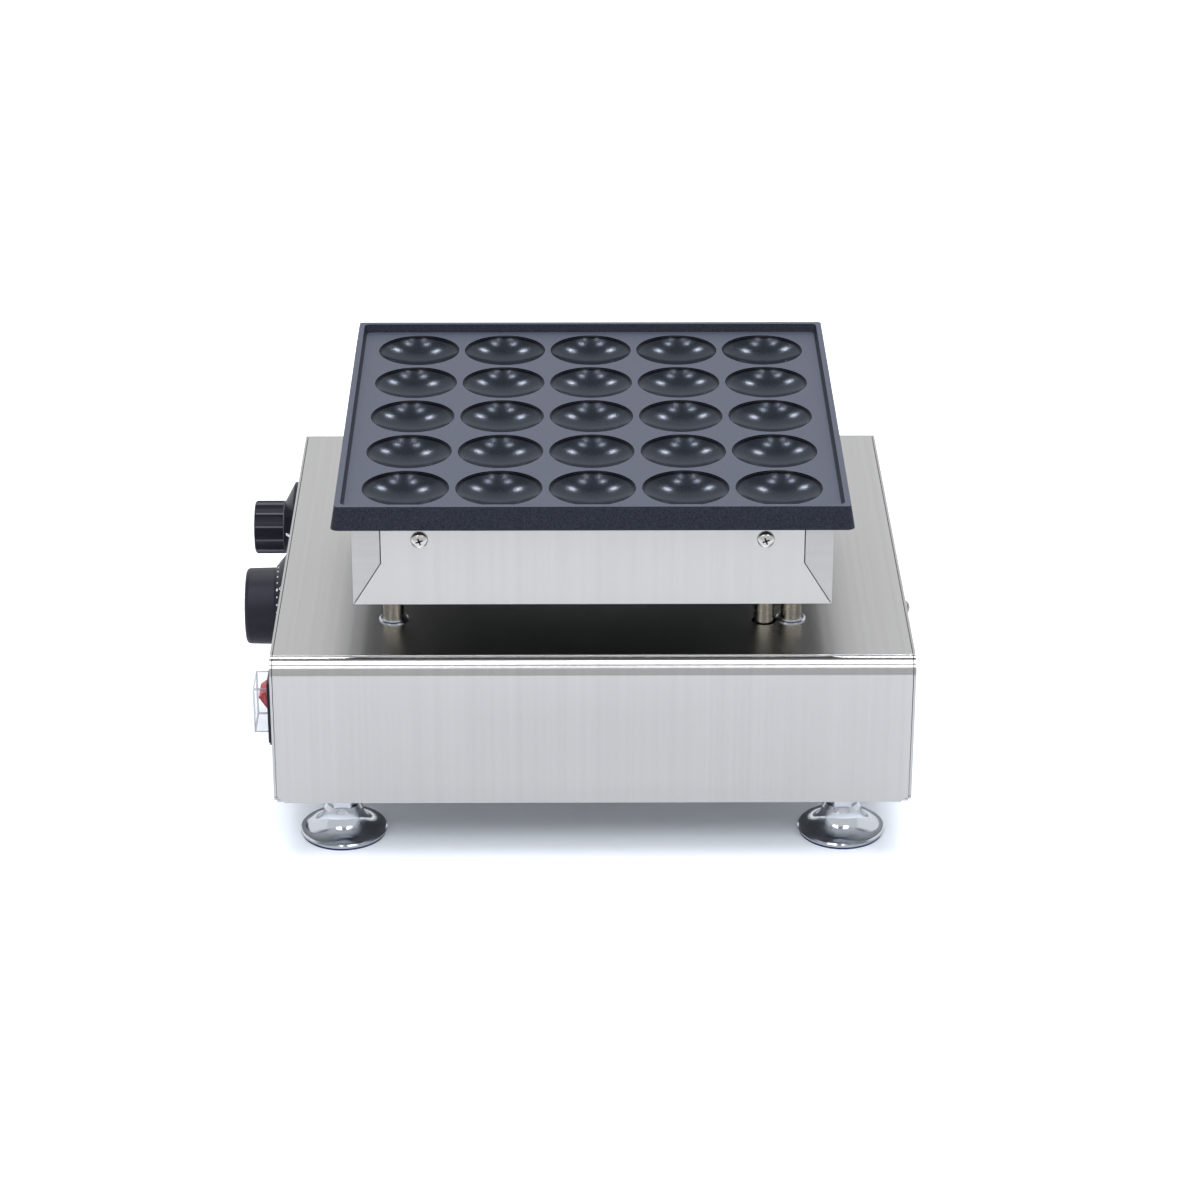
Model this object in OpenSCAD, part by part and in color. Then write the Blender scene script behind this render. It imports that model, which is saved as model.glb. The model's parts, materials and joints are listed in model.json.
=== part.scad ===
// Mini pancake maker: a cast grill plate with round moulds on a heater box, over a folded sheet base.
// Millimetres. +X to the right, +Y to the rear, +Z up. The feet stand on z = 0.
// Pieces are laid out about the middle of the base, and placed() moves them so that the
// origin is under the middle of the whole machine, knobs and cable gland included.

/* [Grill plate] */
// Moulds across the plate
mould_cols = 5; // [4:1:6]
// Moulds from front to rear
mould_rows = 5; // [4:1:5]
// Diameter of a mould at the cooking surface
mould_d = 45; // [40:0.5:46]
// Distance between the centres of neighbouring moulds
mould_pitch = 49; // [48:0.5:52]
// Depth of a mould
mould_depth = 6.5; // [5:0.25:8]
// Straight wall at the top of a mould
mould_wall_h = 1; // [0.5:0.25:1.5]
// Thickness of metal under a mould
bowl_t = 4; // [3:0.25:4.5]
// Thickness of the web between the moulds
web_t = 5; // [4:0.5:7]
// Height of the rim over the cooking surface
rim_h = 4.5; // [3:0.25:8]
// Thickness of the rim at its top
rim_t = 3; // [2:0.25:4]
// Draft of the inner face of the rim
rim_draft = 1.3; // [0.5:0.1:2]
// Room from the outer moulds to the outer face of the rim, left and right
side_margin = 13; // [11:0.5:18]
// Room from the front moulds to the outer face of the rim
front_margin = 12; // [11:0.5:18]
// Room from the rear moulds to the outer face of the rim
rear_margin = 10; // [9:0.5:18]
// How far the skirt hangs below the web
skirt_drop = 3; // [2:0.5:6]
// How far the skirt flares out on each side at its bottom
skirt_flare = 2.2; // [0:0.1:4]
// Corner radius of the plate at the top of the rim
plate_corner_r = 2; // [2:0.5:8]

/* [Heater box] */
// Thickness of the box sheet
box_t = 1; // [0.8:0.1:1.5]
// Height of the box from its bottom to the web of the plate
box_h = 49; // [45:1:70]
// Overlap of the plate past the box, left and right
overlap_side = 8.25; // [7:0.25:12]
// Overlap of the plate past the box, front and rear
overlap_front = 6.25; // [5:0.25:12]
// Clearance between the box and the skirt
box_gap = 0.75; // [0.3:0.05:1.5]
// Width of the flanges folded from the side walls onto the front and rear
mitre_w = 14.5; // [10:0.5:20]
// Height over the bottom at which the mitre turns upright
mitre_h = 23.5; // [15:0.5:30]
// Gap of the mitred seam
mitre_gap = 0.6; // [0.2:0.05:0.6]
// Distance of the box screws from the outer faces of the side walls
box_screw_inset = 35.25; // [28:0.25:50]
// Depth of the box screws below the web
box_screw_drop = 12; // [10:0.5:16]
// Thread diameter of the box screws
box_screw_d = 5; // [4:0.5:5]
// Head diameter of the box screws
box_screw_head_d = 9.2; // [8:0.2:10.4]
// Thickness of the insulation board
board_t = 15; // [10:1:18]
// Height of the upturned edge of the heat reflector
reflector_edge = 9; // [5:1:12]

/* [Heating element] */
// Diameter of the element tube
element_d = 6.5; // [5:0.5:8]
// How far the runs stop short of the outer moulds' centres
run_inset = 6; // [4:1:20]
// Length of the cold ends that turn down
cold_end = 9; // [6:1:10]
// Thickness of the clamp strips
clamp_t = 1.5; // [1:0.25:2]
// Width of the clamp strips
clamp_w = 12; // [9:1:16]
// Diameter of the thermostat bulb
bulb_d = 5; // [4:0.5:6]
// Length of the thermostat bulb
bulb_l = 70; // [50:5:90]
// Diameter of the capillary tube
capillary_d = 1.8; // [1.2:0.2:2.4]

/* [Posts] */
// Gap between the base and the heater box
post_h = 18; // [12:1:40]
// Diameter of a post
post_d = 11; // [9:0.5:12]
// Distance of the posts from the outer faces of the box
post_inset = 20; // [16:0.5:30]
// Diameter of the ring washers
washer_d = 15.5; // [14:0.5:18]
// Thickness of the ring washers
washer_t = 1.5; // [1:0.25:2]
// Diameter of the post bolts
bolt_d = 6; // [5:0.5:6]
// Outer diameter of the wire conduit
conduit_d = 10.5; // [7:0.5:11]
// Distance of the conduit from the right front post, to the left
conduit_dx = 14.3; // [13:0.1:20]
// Distance of the conduit in front of the right front post
conduit_dy = 2.3; // [0:0.1:4]

/* [Base] */
// Width of the base over the side panels
base_w = 336; // [320:2:400]
// Depth of the base
base_d = 308; // [290:2:360]
// Height of the base sheet metal
base_h = 83; // [78:1:110]
// Outer radius of the folds at the top front and top rear
bend_r = 9; // [5:0.5:12]
// Thickness of the base sheet
sheet_t = 1.2; // [0.8:0.1:1.5]
// Width of the flanges folded inwards
flange_w = 14; // [11:1:18]
// Chamfer at the four lower corners of the wrap
corner_cut = 4; // [2:0.5:6]
// Seam between the wrap and a side panel
seam = 0.4; // [0.2:0.1:0.8]
// How far the plate sits behind the middle of the base
plate_setback = 3; // [0:0.5:6]
// Height of the side panel screw below the top of the base
panel_screw_drop = 7; // [6:0.5:9]
// Distance of the side panel screw in front of the middle
panel_screw_y = 75; // [0:1:110]
// Head diameter of the side panel screw
panel_screw_head_d = 7.6; // [6:0.2:8]
// Head height of the side panel screw
panel_screw_head_h = 3; // [2:0.1:3.4]

/* [Bottom cover] */
// Number of vent slots in each field
vent_count = 9; // [4:1:11]
// Length of a vent slot
vent_l = 46; // [30:2:60]
// Width of a vent slot
vent_w = 3; // [2:0.5:4]
// Distance between vent slots
vent_pitch = 8; // [6:0.5:9]
// Distance of the vent fields from the middle
vent_x = 62; // [40:1:75]
// Thread diameter of the cover screws
cover_screw_d = 3.5; // [3:0.5:4]

/* [Feet] */
// Height of the base over the floor
foot_h = 35; // [28:0.5:42]
// Distance of the feet from the outer faces of the base
foot_inset = 34; // [28:1:50]
// Diameter of the foot at its rim
foot_d = 46.8; // [38:0.2:54]
// Height of the chrome bell
bell_h = 15; // [12:0.2:18]
// Thickness of the flat rim of the bell, down to the floor
foot_lip_h = 3.4; // [2.6:0.2:5]
// Width across the corners of the hexagon over the bell
foot_hex_d = 17.6; // [15:0.2:20]
// Height of that hexagon
foot_hex_h = 7; // [5:0.5:9]
// Thickness of the pad under the bell
pad_t = 1.2; // [0.8:0.1:3]
// Diameter of the foot studs
stud_d = 8; // [6:1:10]
// How far a foot can be screwed out
foot_travel = 10; // [4:1:15]

/* [Controls] */
// Height of the controls over the bottom of the base
control_h = 42.5; // [38:0.5:46]
// Distance of the switch from the front of the base
switch_inset = 35; // [32:1:60]
// Place of the timer, from the middle of the base
timer_y = -1; // [-20:1:20]
// Distance of the thermostat from the rear of the base
thermostat_inset = 48; // [40:1:60]
// Diameter of the round knob
timer_knob_d = 43; // [36:0.5:46]
// Diameter of its dotted skirt
timer_skirt_d = 59; // [52:0.5:60]
// Reach of the round knob from the panel
timer_reach = 25; // [20:0.2:28]
// Diameter of the fluted grip
grip_d = 31; // [26:0.2:34]
// Diameter of its conical skirt
grip_skirt_d = 53; // [44:0.5:60]
// Reach of the fluted knob from the panel
grip_reach = 28; // [24:0.5:32]
// Number of flutes round the grip
flutes = 12; // [8:1:16]
// Diameter of the control shafts
shaft_d = 6; // [5:0.5:6]
// Diameter of the threaded bushes of the controls
bush_d = 10; // [9:0.5:11]

/* [Switch] */
// Height of the switch bezel
bezel_h = 36.5; // [30:0.5:38]
// Width of the switch bezel
bezel_w = 30; // [25:0.5:32]
// Thickness of the switch bezel
bezel_t = 3.5; // [2.5:0.25:4]
// Height of the clear cover
cover_h = 25.6; // [25.2:0.2:28]
// Width of the clear cover
cover_w = 21.4; // [20:0.2:24]
// Reach of the clear cover from the bezel
cover_reach = 7.6; // [6.8:0.2:10]
// Thickness of the clear cover
cover_t = 0.9; // [0.6:0.1:1]
// Width of the rocker
rocker_w = 15; // [12:0.5:16]
// Turn of the rocker from one side to the other, in degrees
rocker_swing = 32; // [24:1:34]

/* [Cable gland] */
// Thread diameter of the gland
gland_d = 20; // [16:1:24]
// Bore for the cable
gland_bore_d = 10; // [7:0.5:11]
// Place of the gland, from the middle of the base
gland_x = -95; // [-120:5:120]
// Height of the gland over the bottom of the base
gland_h = 30; // [26:1:50]
// How far the gland stands out at the rear
gland_reach = 20; // [16:1:26]

/* [Hidden] */
$fn = 48;
HULL_FN = 32;
eps = 0.01;

// Clearances
run_gap = 0.05;
fit_gap = 0.02;
hole_gap = 0.3;
slot_gap = 0.3;
panel_gap = 1.2;

// Levels
base_z = foot_h;
base_top = base_z + base_h;
box_z = base_top + post_h;
web_z = box_z + box_h;
cook_z = web_z + web_t;
rim_z = cook_z + rim_h;
skirt_z = web_z - skirt_drop;
control_z = base_z + control_h;

// Plate and box, in plan
grid_w = (mould_cols - 1) * mould_pitch;
grid_d = (mould_rows - 1) * mould_pitch;
plate_w = grid_w + mould_d + 2 * side_margin;
plate_d = grid_d + mould_d + front_margin + rear_margin;
plate_y = plate_setback;
grid_y = plate_y + (front_margin - rear_margin) / 2;
box_w = plate_w - 2 * overlap_side;
box_d = plate_d - 2 * overlap_front;
post_x = box_w / 2 - post_inset;
post_dy = box_d / 2 - post_inset;
conduit_x = post_x - conduit_dx;
conduit_y = plate_y - post_dy - conduit_dy;
conduit_low = base_top - 12;
conduit_high = box_z + box_t + board_t + 6;

// Moulds: the bowl is a ball that meets the straight wall at the mould's edge
bowl_drop = mould_depth - mould_wall_h;
bowl_r = (pow(mould_d / 2, 2) + pow(bowl_drop, 2)) / (2 * bowl_drop);
bowl_ball_z = cook_z - mould_depth + bowl_r;
bowl_low_z = cook_z - mould_depth - bowl_t;
mould_lip = 0.4;

// Box screws run into round-ended lugs cast under the web
box_screw_x = box_w / 2 - box_screw_inset;
box_screw_z = web_z - box_screw_drop;
tab_short = 2;
tab_reach = 8;
lug_w = 14;
lug_t = 9;
box_screw_l = box_t + lug_t - 1;
box_screw_head_h = 2.8;

// Heating element and what holds it
element_z = bowl_low_z - element_d / 2 - 0.2;
run_l = grid_w - 2 * run_inset;
bend_l = mould_pitch / 2;
clamp_boss_d = 9;
clamp_x = (mould_cols - 2) / 2 * mould_pitch;
clamp_z = element_z - element_d / 2 - clamp_t - 0.1;
bulb_y = grid_y - mould_pitch / 2;
bulb_z = bowl_low_z - bulb_d / 2 - 0.1;

// Base panels
panel_x = base_w / 2;
wrap_l = base_w - 2 * sheet_t - 2 * seam;
inner_d = base_d - 2 * sheet_t;
cover_gap = 0.3;
flange_z = base_z + sheet_t + 0.1;
foot_x = base_w / 2 - foot_inset;
foot_y = base_d / 2 - foot_inset;
panel_screw_z = base_top - panel_screw_drop;
switch_y = switch_inset - base_d / 2;
thermostat_y = base_d / 2 - thermostat_inset;

// Fasteners
nut_h = 5;
bolt_head_h = 4;
bolt_nut_d = 11.5;
stud_nut_h = 6.5;
stud_socket = 8;
shoulder_h = 2.6;
stud_l = foot_h - bell_h + stud_socket + sheet_t + stud_nut_h + foot_travel + 0.8;
cover_head_d = 7;
cover_head_h = 1.8;
cover_screw_l = 7;
cover_screw_inset = 60;

// Control parts, measured outwards from the panel
bush_out = 6.4;
ring_nut_h = 2.4;
ring_nut_d = 16;
knob_hub_d = 12;
shaft_out = 17;
cone_top = 10;
grip_rim_t = 3.4;
grip_turn = -6;
flute_land = 3;
flute_hollow = 0.6;
timer_body_d = 43;
timer_body_l = 26;
thermo_body = [40, 38, 30];

// Switch
switch_hole_h = 27;
switch_hole_w = 22;
switch_depth = 20;
rocker_half = 8.2;
rocker_rise = 3;
rocker_valley = 0.5;
rocker_pivot = 3;
rocker_r = sqrt(pow(rocker_half, 2) + pow(rocker_rise + rocker_pivot, 2));
trunnion_d = 3;
trunnion_l = 1.8;

// Gland and terminal block
gland_hex_d = gland_d + 7.5;
gland_hex_h = 5;
gland_in = 10;
gland_z = base_z + gland_h;
block_size = [46, 22, 18];
block_inset = 60;

// The origin is under the middle of the whole machine
reach_left = max(grip_reach, timer_reach, bezel_t + cover_reach);
shift_x = (reach_left - panel_screw_head_h) / 2;
shift_y = -gland_reach / 2;

STEEL = [0.74, 0.74, 0.73];
BOX_STEEL = [0.80, 0.80, 0.80];
CHROME = [0.82, 0.84, 0.86];
ZINC = [0.66, 0.66, 0.64];
GRILL = [0.22, 0.24, 0.28];
BLACK = [0.08, 0.08, 0.09];
BODY_GREY = [0.30, 0.30, 0.32];

// Moves a piece from the middle of the base to the machine's own origin
module placed() {
    translate([shift_x, shift_y, 0]) children();
}

// Extrudes a Y-Z outline along X, centred
module along_x(length) {
    rotate([90, 0, 90]) linear_extrude(height = length, center = true) children();
}

// Extrudes an X-Z outline along Y, centred
module along_y(length) {
    rotate([90, 0, 0]) linear_extrude(height = length, center = true) children();
}

// Local frame of a control: X up, Y to the rear, Z out of the left panel
module on_control_panel(y) {
    translate([-panel_x, y, control_z]) rotate([0, -90, 0]) children();
}

// The four places that mirror each other about the plate's middle or the base's middle
module at_posts() {
    for (sx = [-1, 1], sy = [-1, 1]) translate([sx * post_x, plate_y + sy * post_dy, 0]) children();
}

module at_feet() {
    for (sx = [-1, 1], sy = [-1, 1]) translate([sx * foot_x, sy * foot_y, 0]) children();
}

module ring(d_out, d_in, h) {
    difference() {
        cylinder(d = d_out, h = h);
        translate([0, 0, -1]) cylinder(d = d_in, h = h + 2);
    }
}

// Hexagon nut with its corners turned off by a ball
module hex_nut(d_corner, d_in, h) {
    difference() {
        intersection() {
            cylinder(d = d_corner, h = h, $fn = 6);
            translate([0, 0, h / 2]) sphere(r = d_corner * 0.52);
        }
        translate([0, 0, -1]) cylinder(d = d_in, h = h + 2);
    }
}

// Pan-head screw, head up, with a cross recess; its shank hangs from z = 0
module pan_screw(d_head, h_head, d_shank, l_shank) {
    dome_r = (pow(d_head / 2, 2) + pow(h_head, 2)) / (2 * h_head) + h_head * 0.25;
    arm = d_head * 0.52;
    slot = d_head * 0.12;
    difference() {
        intersection() {
            cylinder(d = d_head, h = h_head);
            translate([0, 0, h_head - dome_r]) sphere(r = dome_r);
        }
        for (turn = [0, 90]) rotate([0, 0, turn])
            translate([-arm / 2, -slot / 2, h_head * 0.45]) cube([arm, slot, h_head]);
    }
    translate([0, 0, -l_shank]) cylinder(d = d_shank, h = l_shank + eps);
}

// Outline of the base, as seen from the side: folded corners at the top, square below
module base_outline(inset = 0) {
    half = base_d / 2 - inset;
    r = bend_r - inset;
    low = base_z + inset;
    high = base_top - inset;
    translate([-half, low]) square([2 * half, high - r - low]);
    translate([-half + r, low]) square([2 * (half - r), high - low]);
    for (side = [-1, 1]) translate([side * (half - r), high - r]) circle(r = r);
}

module housing_wrap() {
    color(STEEL) placed() difference() {
        union() {
            difference() {
                along_x(wrap_l) base_outline();
                along_x(wrap_l + 2) base_outline(sheet_t);
                translate([-panel_x, -inner_d / 2, base_z - 1]) cube([base_w, inner_d, base_h / 2]);
            }
            for (side = [-1, 1]) translate([-wrap_l / 2, side < 0 ? -inner_d / 2 - eps : inner_d / 2 - flange_w, flange_z])
                cube([wrap_l, flange_w + eps, sheet_t]);
        }
        for (sx = [-1, 1], sy = [-1, 1])
            translate([sx * wrap_l / 2, sy * base_d / 2, base_z]) rotate([0, 45, 0])
                cube([corner_cut * sqrt(2), 2 * sheet_t + 1, corner_cut * sqrt(2)], center = true);
        at_posts() translate([0, 0, base_top - 3]) cylinder(d = bolt_d + 2 * hole_gap, h = 4);
        translate([conduit_x, conduit_y, base_top - 3]) cylinder(d = conduit_d + 2.6, h = 4);
        translate([gland_x, base_d / 2 + 1, gland_z]) rotate([90, 0, 0])
            cylinder(d = gland_d + 2 * hole_gap, h = sheet_t + 2);
        cover_screw_places() translate([0, 0, flange_z - 1]) cylinder(d = cover_screw_d + 2 * fit_gap, h = 4);
    }
}

// A side panel with the flange that is folded in all round, under the wrap
module panel_blank() {
    under = sheet_t + 0.1;
    union() {
        translate([-panel_x + sheet_t / 2, 0, 0]) along_x(sheet_t) difference() {
            base_outline();
            for (side = [-1, 1]) translate([side * base_d / 2, base_z]) rotate(45)
                square(corner_cut * sqrt(2), center = true);
        }
        difference() {
            translate([-panel_x + (flange_w + sheet_t) / 2 - eps, 0, 0]) along_x(flange_w + sheet_t - 2 * eps) difference() {
                base_outline(under);
                base_outline(under + sheet_t);
            }
            for (side = [-1, 1]) translate([-panel_x + sheet_t + seam / 2, side * (base_d / 2 - sheet_t) - flange_w - 1, base_z - 1])
                cube([flange_w + 2, 2 * (flange_w + 1), 2 * sheet_t + 2]);
        }
    }
}

module control_panel() {
    color(STEEL) placed() difference() {
        panel_blank();
        for (y = [timer_y, thermostat_y]) on_control_panel(y)
            translate([0, 0, -4]) cylinder(d = bush_d + 2 * hole_gap, h = 6);
        on_control_panel(switch_y) cube([switch_hole_h, switch_hole_w, 8], center = true);
    }
}

module side_panel() {
    color(STEEL) placed() difference() {
        mirror([1, 0, 0]) panel_blank();
        translate([panel_x, -panel_screw_y, panel_screw_z]) rotate([0, 90, 0])
            cylinder(d = 4 + 2 * fit_gap, h = 8, center = true);
    }
}

// The screw that stands out of the right panel, with its nut inside
module side_panel_screw() {
    color(ZINC) placed() translate([panel_x, -panel_screw_y, panel_screw_z]) rotate([0, 90, 0]) {
        pan_screw(panel_screw_head_d, panel_screw_head_h, 4, 9);
        translate([0, 0, -sheet_t - 3.2]) hex_nut(7.6, 4 + 2 * fit_gap, 3.2);
    }
}

// Places of the screws that hold the bottom cover to the flanges
module cover_screw_places() {
    for (sx = [-1, 0, 1], sy = [-1, 1])
        translate([sx * (base_w / 2 - cover_screw_inset), sy * (inner_d / 2 - flange_w / 2), 0]) children();
}

module bottom_cover() {
    w = base_w - 2 * sheet_t - 2 * cover_gap;
    d = inner_d - 2 * cover_gap;
    color(STEEL) placed() translate([0, 0, base_z]) difference() {
        translate([-w / 2, -d / 2, 0]) cube([w, d, sheet_t]);
        at_feet() translate([0, 0, -1]) cylinder(d = stud_d + 2 * hole_gap, h = sheet_t + 2);
        cover_screw_places() translate([0, 0, -1]) cylinder(d = cover_screw_d + 2 * hole_gap, h = sheet_t + 2);
        for (side = [-1, 1], i = [0 : vent_count - 1])
            translate([side * vent_x, (i - (vent_count - 1) / 2) * vent_pitch, 0])
                vent_slot();
    }
}

module vent_slot() {
    translate([0, 0, -1]) linear_extrude(height = sheet_t + 2) union() {
        square([vent_l - vent_w, vent_w], center = true);
        for (side = [-1, 1]) translate([side * (vent_l - vent_w) / 2, 0]) circle(d = vent_w);
    }
}

module bottom_cover_screws() {
    color(ZINC) placed() cover_screw_places() translate([0, 0, base_z]) mirror([0, 0, 1])
        pan_screw(cover_head_d, cover_head_h, cover_screw_d, cover_screw_l);
}

module foot_nuts() {
    color(ZINC) placed() at_feet() translate([0, 0, base_z + sheet_t])
        hex_nut(stud_d * 1.88, stud_d + 2 * run_gap, stud_nut_h);
}

// Trumpet-shaped chrome bell: a flat rim, one hollow sweep up to the neck, a shoulder and a hexagon
module foot_bell() {
    rim_r = foot_d / 2;
    neck_r = foot_hex_d / 2 + 1.6;
    sweep_r = bell_h - foot_lip_h;
    edge = 0.5;
    difference() {
        union() {
            rotate_extrude() difference() {
                union() {
                    translate([0, pad_t]) square([rim_r - edge, bell_h - pad_t]);
                    translate([0, pad_t + edge]) square([rim_r, bell_h - pad_t - edge]);
                }
                translate([neck_r + sweep_r, bell_h]) circle(r = sweep_r);
                translate([neck_r + sweep_r, foot_lip_h]) square([rim_r, bell_h]);
                translate([rim_r, foot_lip_h]) rotate(45) square(2 * edge, center = true);
            }
            translate([0, 0, bell_h - eps]) cylinder(r1 = neck_r, r2 = foot_hex_d / 2, h = shoulder_h);
            translate([0, 0, bell_h + shoulder_h - 2 * eps]) intersection() {
                cylinder(d = foot_hex_d + 0.4, h = foot_hex_h, $fn = 6);
                cylinder(d = foot_hex_d, h = foot_hex_h);
            }
        }
        translate([0, 0, bell_h - stud_socket])
            cylinder(d = stud_d + 2 * fit_gap, h = foot_hex_h + shoulder_h + stud_socket + 1);
    }
}

module foot_stud() {
    translate([0, 0, bell_h - stud_socket]) union() {
        cylinder(d = stud_d, h = stud_l - 1);
        translate([0, 0, stud_l - 1 - eps]) cylinder(d1 = stud_d, d2 = stud_d - 2, h = 1);
    }
}

module foot_pad() {
    cylinder(d = foot_d - 1.6, h = pad_t);
}

module at_foot(sx, sy) {
    placed() translate([sx * foot_x, sy * foot_y, 0]) children();
}

module foot_bell_front_left() { color(CHROME) at_foot(-1, -1) foot_bell(); }
module foot_bell_front_right() { color(CHROME) at_foot(1, -1) foot_bell(); }
module foot_bell_rear_left() { color(CHROME) at_foot(-1, 1) foot_bell(); }
module foot_bell_rear_right() { color(CHROME) at_foot(1, 1) foot_bell(); }
module foot_stud_front_left() { color(ZINC) at_foot(-1, -1) foot_stud(); }
module foot_stud_front_right() { color(ZINC) at_foot(1, -1) foot_stud(); }
module foot_stud_rear_left() { color(ZINC) at_foot(-1, 1) foot_stud(); }
module foot_stud_rear_right() { color(ZINC) at_foot(1, 1) foot_stud(); }
module foot_pad_front_left() { color("midnightblue") at_foot(-1, -1) foot_pad(); }
module foot_pad_front_right() { color("midnightblue") at_foot(1, -1) foot_pad(); }
module foot_pad_rear_left() { color("midnightblue") at_foot(-1, 1) foot_pad(); }
module foot_pad_rear_right() { color("midnightblue") at_foot(1, 1) foot_pad(); }

// A post stands on its ring washer and carries the bottom of the box
module post() {
    translate([0, 0, base_top + washer_t]) ring(post_d, bolt_d + 2 * fit_gap, post_h - washer_t);
}

module at_post(sx, sy) {
    placed() translate([sx * post_x, plate_y + sy * post_dy, 0]) children();
}

module post_front_left() { color(ZINC) at_post(-1, -1) post(); }
module post_front_right() { color(ZINC) at_post(1, -1) post(); }
module post_rear_left() { color(ZINC) at_post(-1, 1) post(); }
module post_rear_right() { color(ZINC) at_post(1, 1) post(); }

// Stepped ring washers: a bevelled disc with a low collar that carries the post
module post_washers() {
    color(CHROME) placed() at_posts() translate([0, 0, base_top]) difference() {
        union() {
            cylinder(d = washer_d, h = washer_t * 0.4);
            translate([0, 0, washer_t * 0.4 - eps])
                cylinder(d1 = washer_d, d2 = washer_d - washer_t, h = washer_t * 0.3);
            cylinder(d = post_d + washer_t, h = washer_t);
        }
        translate([0, 0, -1]) cylinder(d = bolt_d + 2 * fit_gap, h = washer_t + 2);
    }
}

module post_bolts() {
    low = base_top - sheet_t - nut_h - 2;
    color(ZINC) placed() at_posts() {
        translate([0, 0, low]) cylinder(d = bolt_d, h = box_z + box_t - low + eps);
        translate([0, 0, box_z + box_t]) cylinder(d = bolt_nut_d, h = bolt_head_h, $fn = 6);
    }
}

module post_nuts() {
    color(ZINC) placed() at_posts() translate([0, 0, base_top - sheet_t - nut_h])
        hex_nut(bolt_nut_d, bolt_d + 2 * fit_gap, nut_h);
}

// Tube that takes the wires from the base into the box; its collar rests on the bottom of the box
module wire_conduit() {
    color(ZINC) placed() translate([conduit_x, conduit_y, 0]) difference() {
        union() {
            translate([0, 0, conduit_low]) cylinder(d = conduit_d, h = conduit_high - conduit_low);
            translate([0, 0, box_z + box_t]) cylinder(d = conduit_d + 4, h = 1.5);
        }
        translate([0, 0, conduit_low - 1]) cylinder(d = conduit_d - 1.6, h = conduit_high - conduit_low + 2);
    }
}

// Half outline of the front sheet of the box, right of the middle, left of the mitred seam
module pan_face() {
    half = box_w / 2 - mitre_gap;
    seam_x = box_w / 2 - mitre_w - mitre_gap;
    polygon([[-half, 0], [half, 0], [seam_x, mitre_h], [seam_x, box_h], [-seam_x, box_h], [-seam_x, mitre_h]]);
}

module heater_pan() {
    tab_w = mitre_w + tab_reach;
    color(BOX_STEEL) placed() translate([0, plate_y, box_z]) difference() {
        union() {
            translate([-box_w / 2 + box_t, -box_d / 2 + eps, 0]) cube([box_w - 2 * box_t, box_d - 2 * eps, box_t]);
            for (side = [-1, 1]) {
                translate([0, side * (box_d - box_t) / 2, 0]) along_y(box_t) pan_face();
                for (end = [-1, 1]) translate([end * (box_w / 2 - box_t - 0.3 - tab_w / 2),
                        side * (box_d / 2 - 1.5 * box_t), box_h / 2])
                    cube([tab_w, box_t, box_h - 2 * tab_short], center = true);
            }
        }
        for (sx = [-1, 1], sy = [-1, 1]) {
            translate([sx * post_x, sy * post_dy, -1]) cylinder(d = bolt_d + 2 * fit_gap, h = box_t + 2);
            translate([sx * box_screw_x, sy * box_d / 2, box_h - box_screw_drop]) rotate([90, 0, 0])
                cylinder(d = box_screw_d + 2 * hole_gap, h = 4 * box_t, center = true);
        }
        translate([conduit_x, conduit_y - plate_y, -1]) cylinder(d = conduit_d + 2 * fit_gap, h = box_t + 2);
    }
}
// Side wall with the flanges that wrap round onto the front and rear, mitred at the bottom
module heater_side(side) {
    placed() translate([0, plate_y, box_z]) {
        translate([side * (box_w - box_t) / 2, 0, box_h / 2])
            cube([box_t, box_d - 2 * box_t, box_h], center = true);
        for (sy = [-1, 1]) translate([0, sy * (box_d - box_t) / 2, 0]) along_y(box_t)
            polygon([[side * box_w / 2, 0], [side * (box_w / 2 - mitre_w), mitre_h],
                [side * (box_w / 2 - mitre_w), box_h], [side * box_w / 2, box_h]]);
    }
}

module heater_side_left() { color(BOX_STEEL) heater_side(-1); }
module heater_side_right() { color(BOX_STEEL) heater_side(1); }

module heater_screws() {
    color(ZINC) placed() for (sx = [-1, 1], sy = [-1, 1])
        translate([sx * box_screw_x, plate_y + sy * box_d / 2, box_screw_z]) rotate([-sy * 90, 0, 0])
            pan_screw(box_screw_head_d, box_screw_head_h, box_screw_d, box_screw_l);
}

module insulation_board() {
    gap = 2 * box_t + 0.5;
    color("antiquewhite") placed() translate([0, plate_y, box_z + box_t]) difference() {
        translate([-box_w / 2 + gap, -box_d / 2 + gap, 0]) cube([box_w - 2 * gap, box_d - 2 * gap, board_t]);
        for (sx = [-1, 1], sy = [-1, 1]) translate([sx * post_x, sy * post_dy, -1])
            cylinder(d = bolt_nut_d + 2, h = board_t + 2);
        translate([conduit_x, conduit_y - plate_y, -1]) cylinder(d = conduit_d + 5, h = board_t + 2);
    }
}

module heat_reflector() {
    gap = 2 * box_t + 0.5;
    w = box_w - 2 * gap;
    d = box_d - 2 * gap;
    t = 0.6;
    color("lightgrey") placed() translate([0, plate_y, box_z + box_t + board_t]) difference() {
        translate([-w / 2, -d / 2, 0]) cube([w, d, reflector_edge]);
        translate([-w / 2 + t, -d / 2 + t, t]) cube([w - 2 * t, d - 2 * t, reflector_edge]);
        translate([conduit_x, conduit_y - plate_y, -1]) cylinder(d = conduit_d + 1, h = 4);
    }
}

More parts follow.
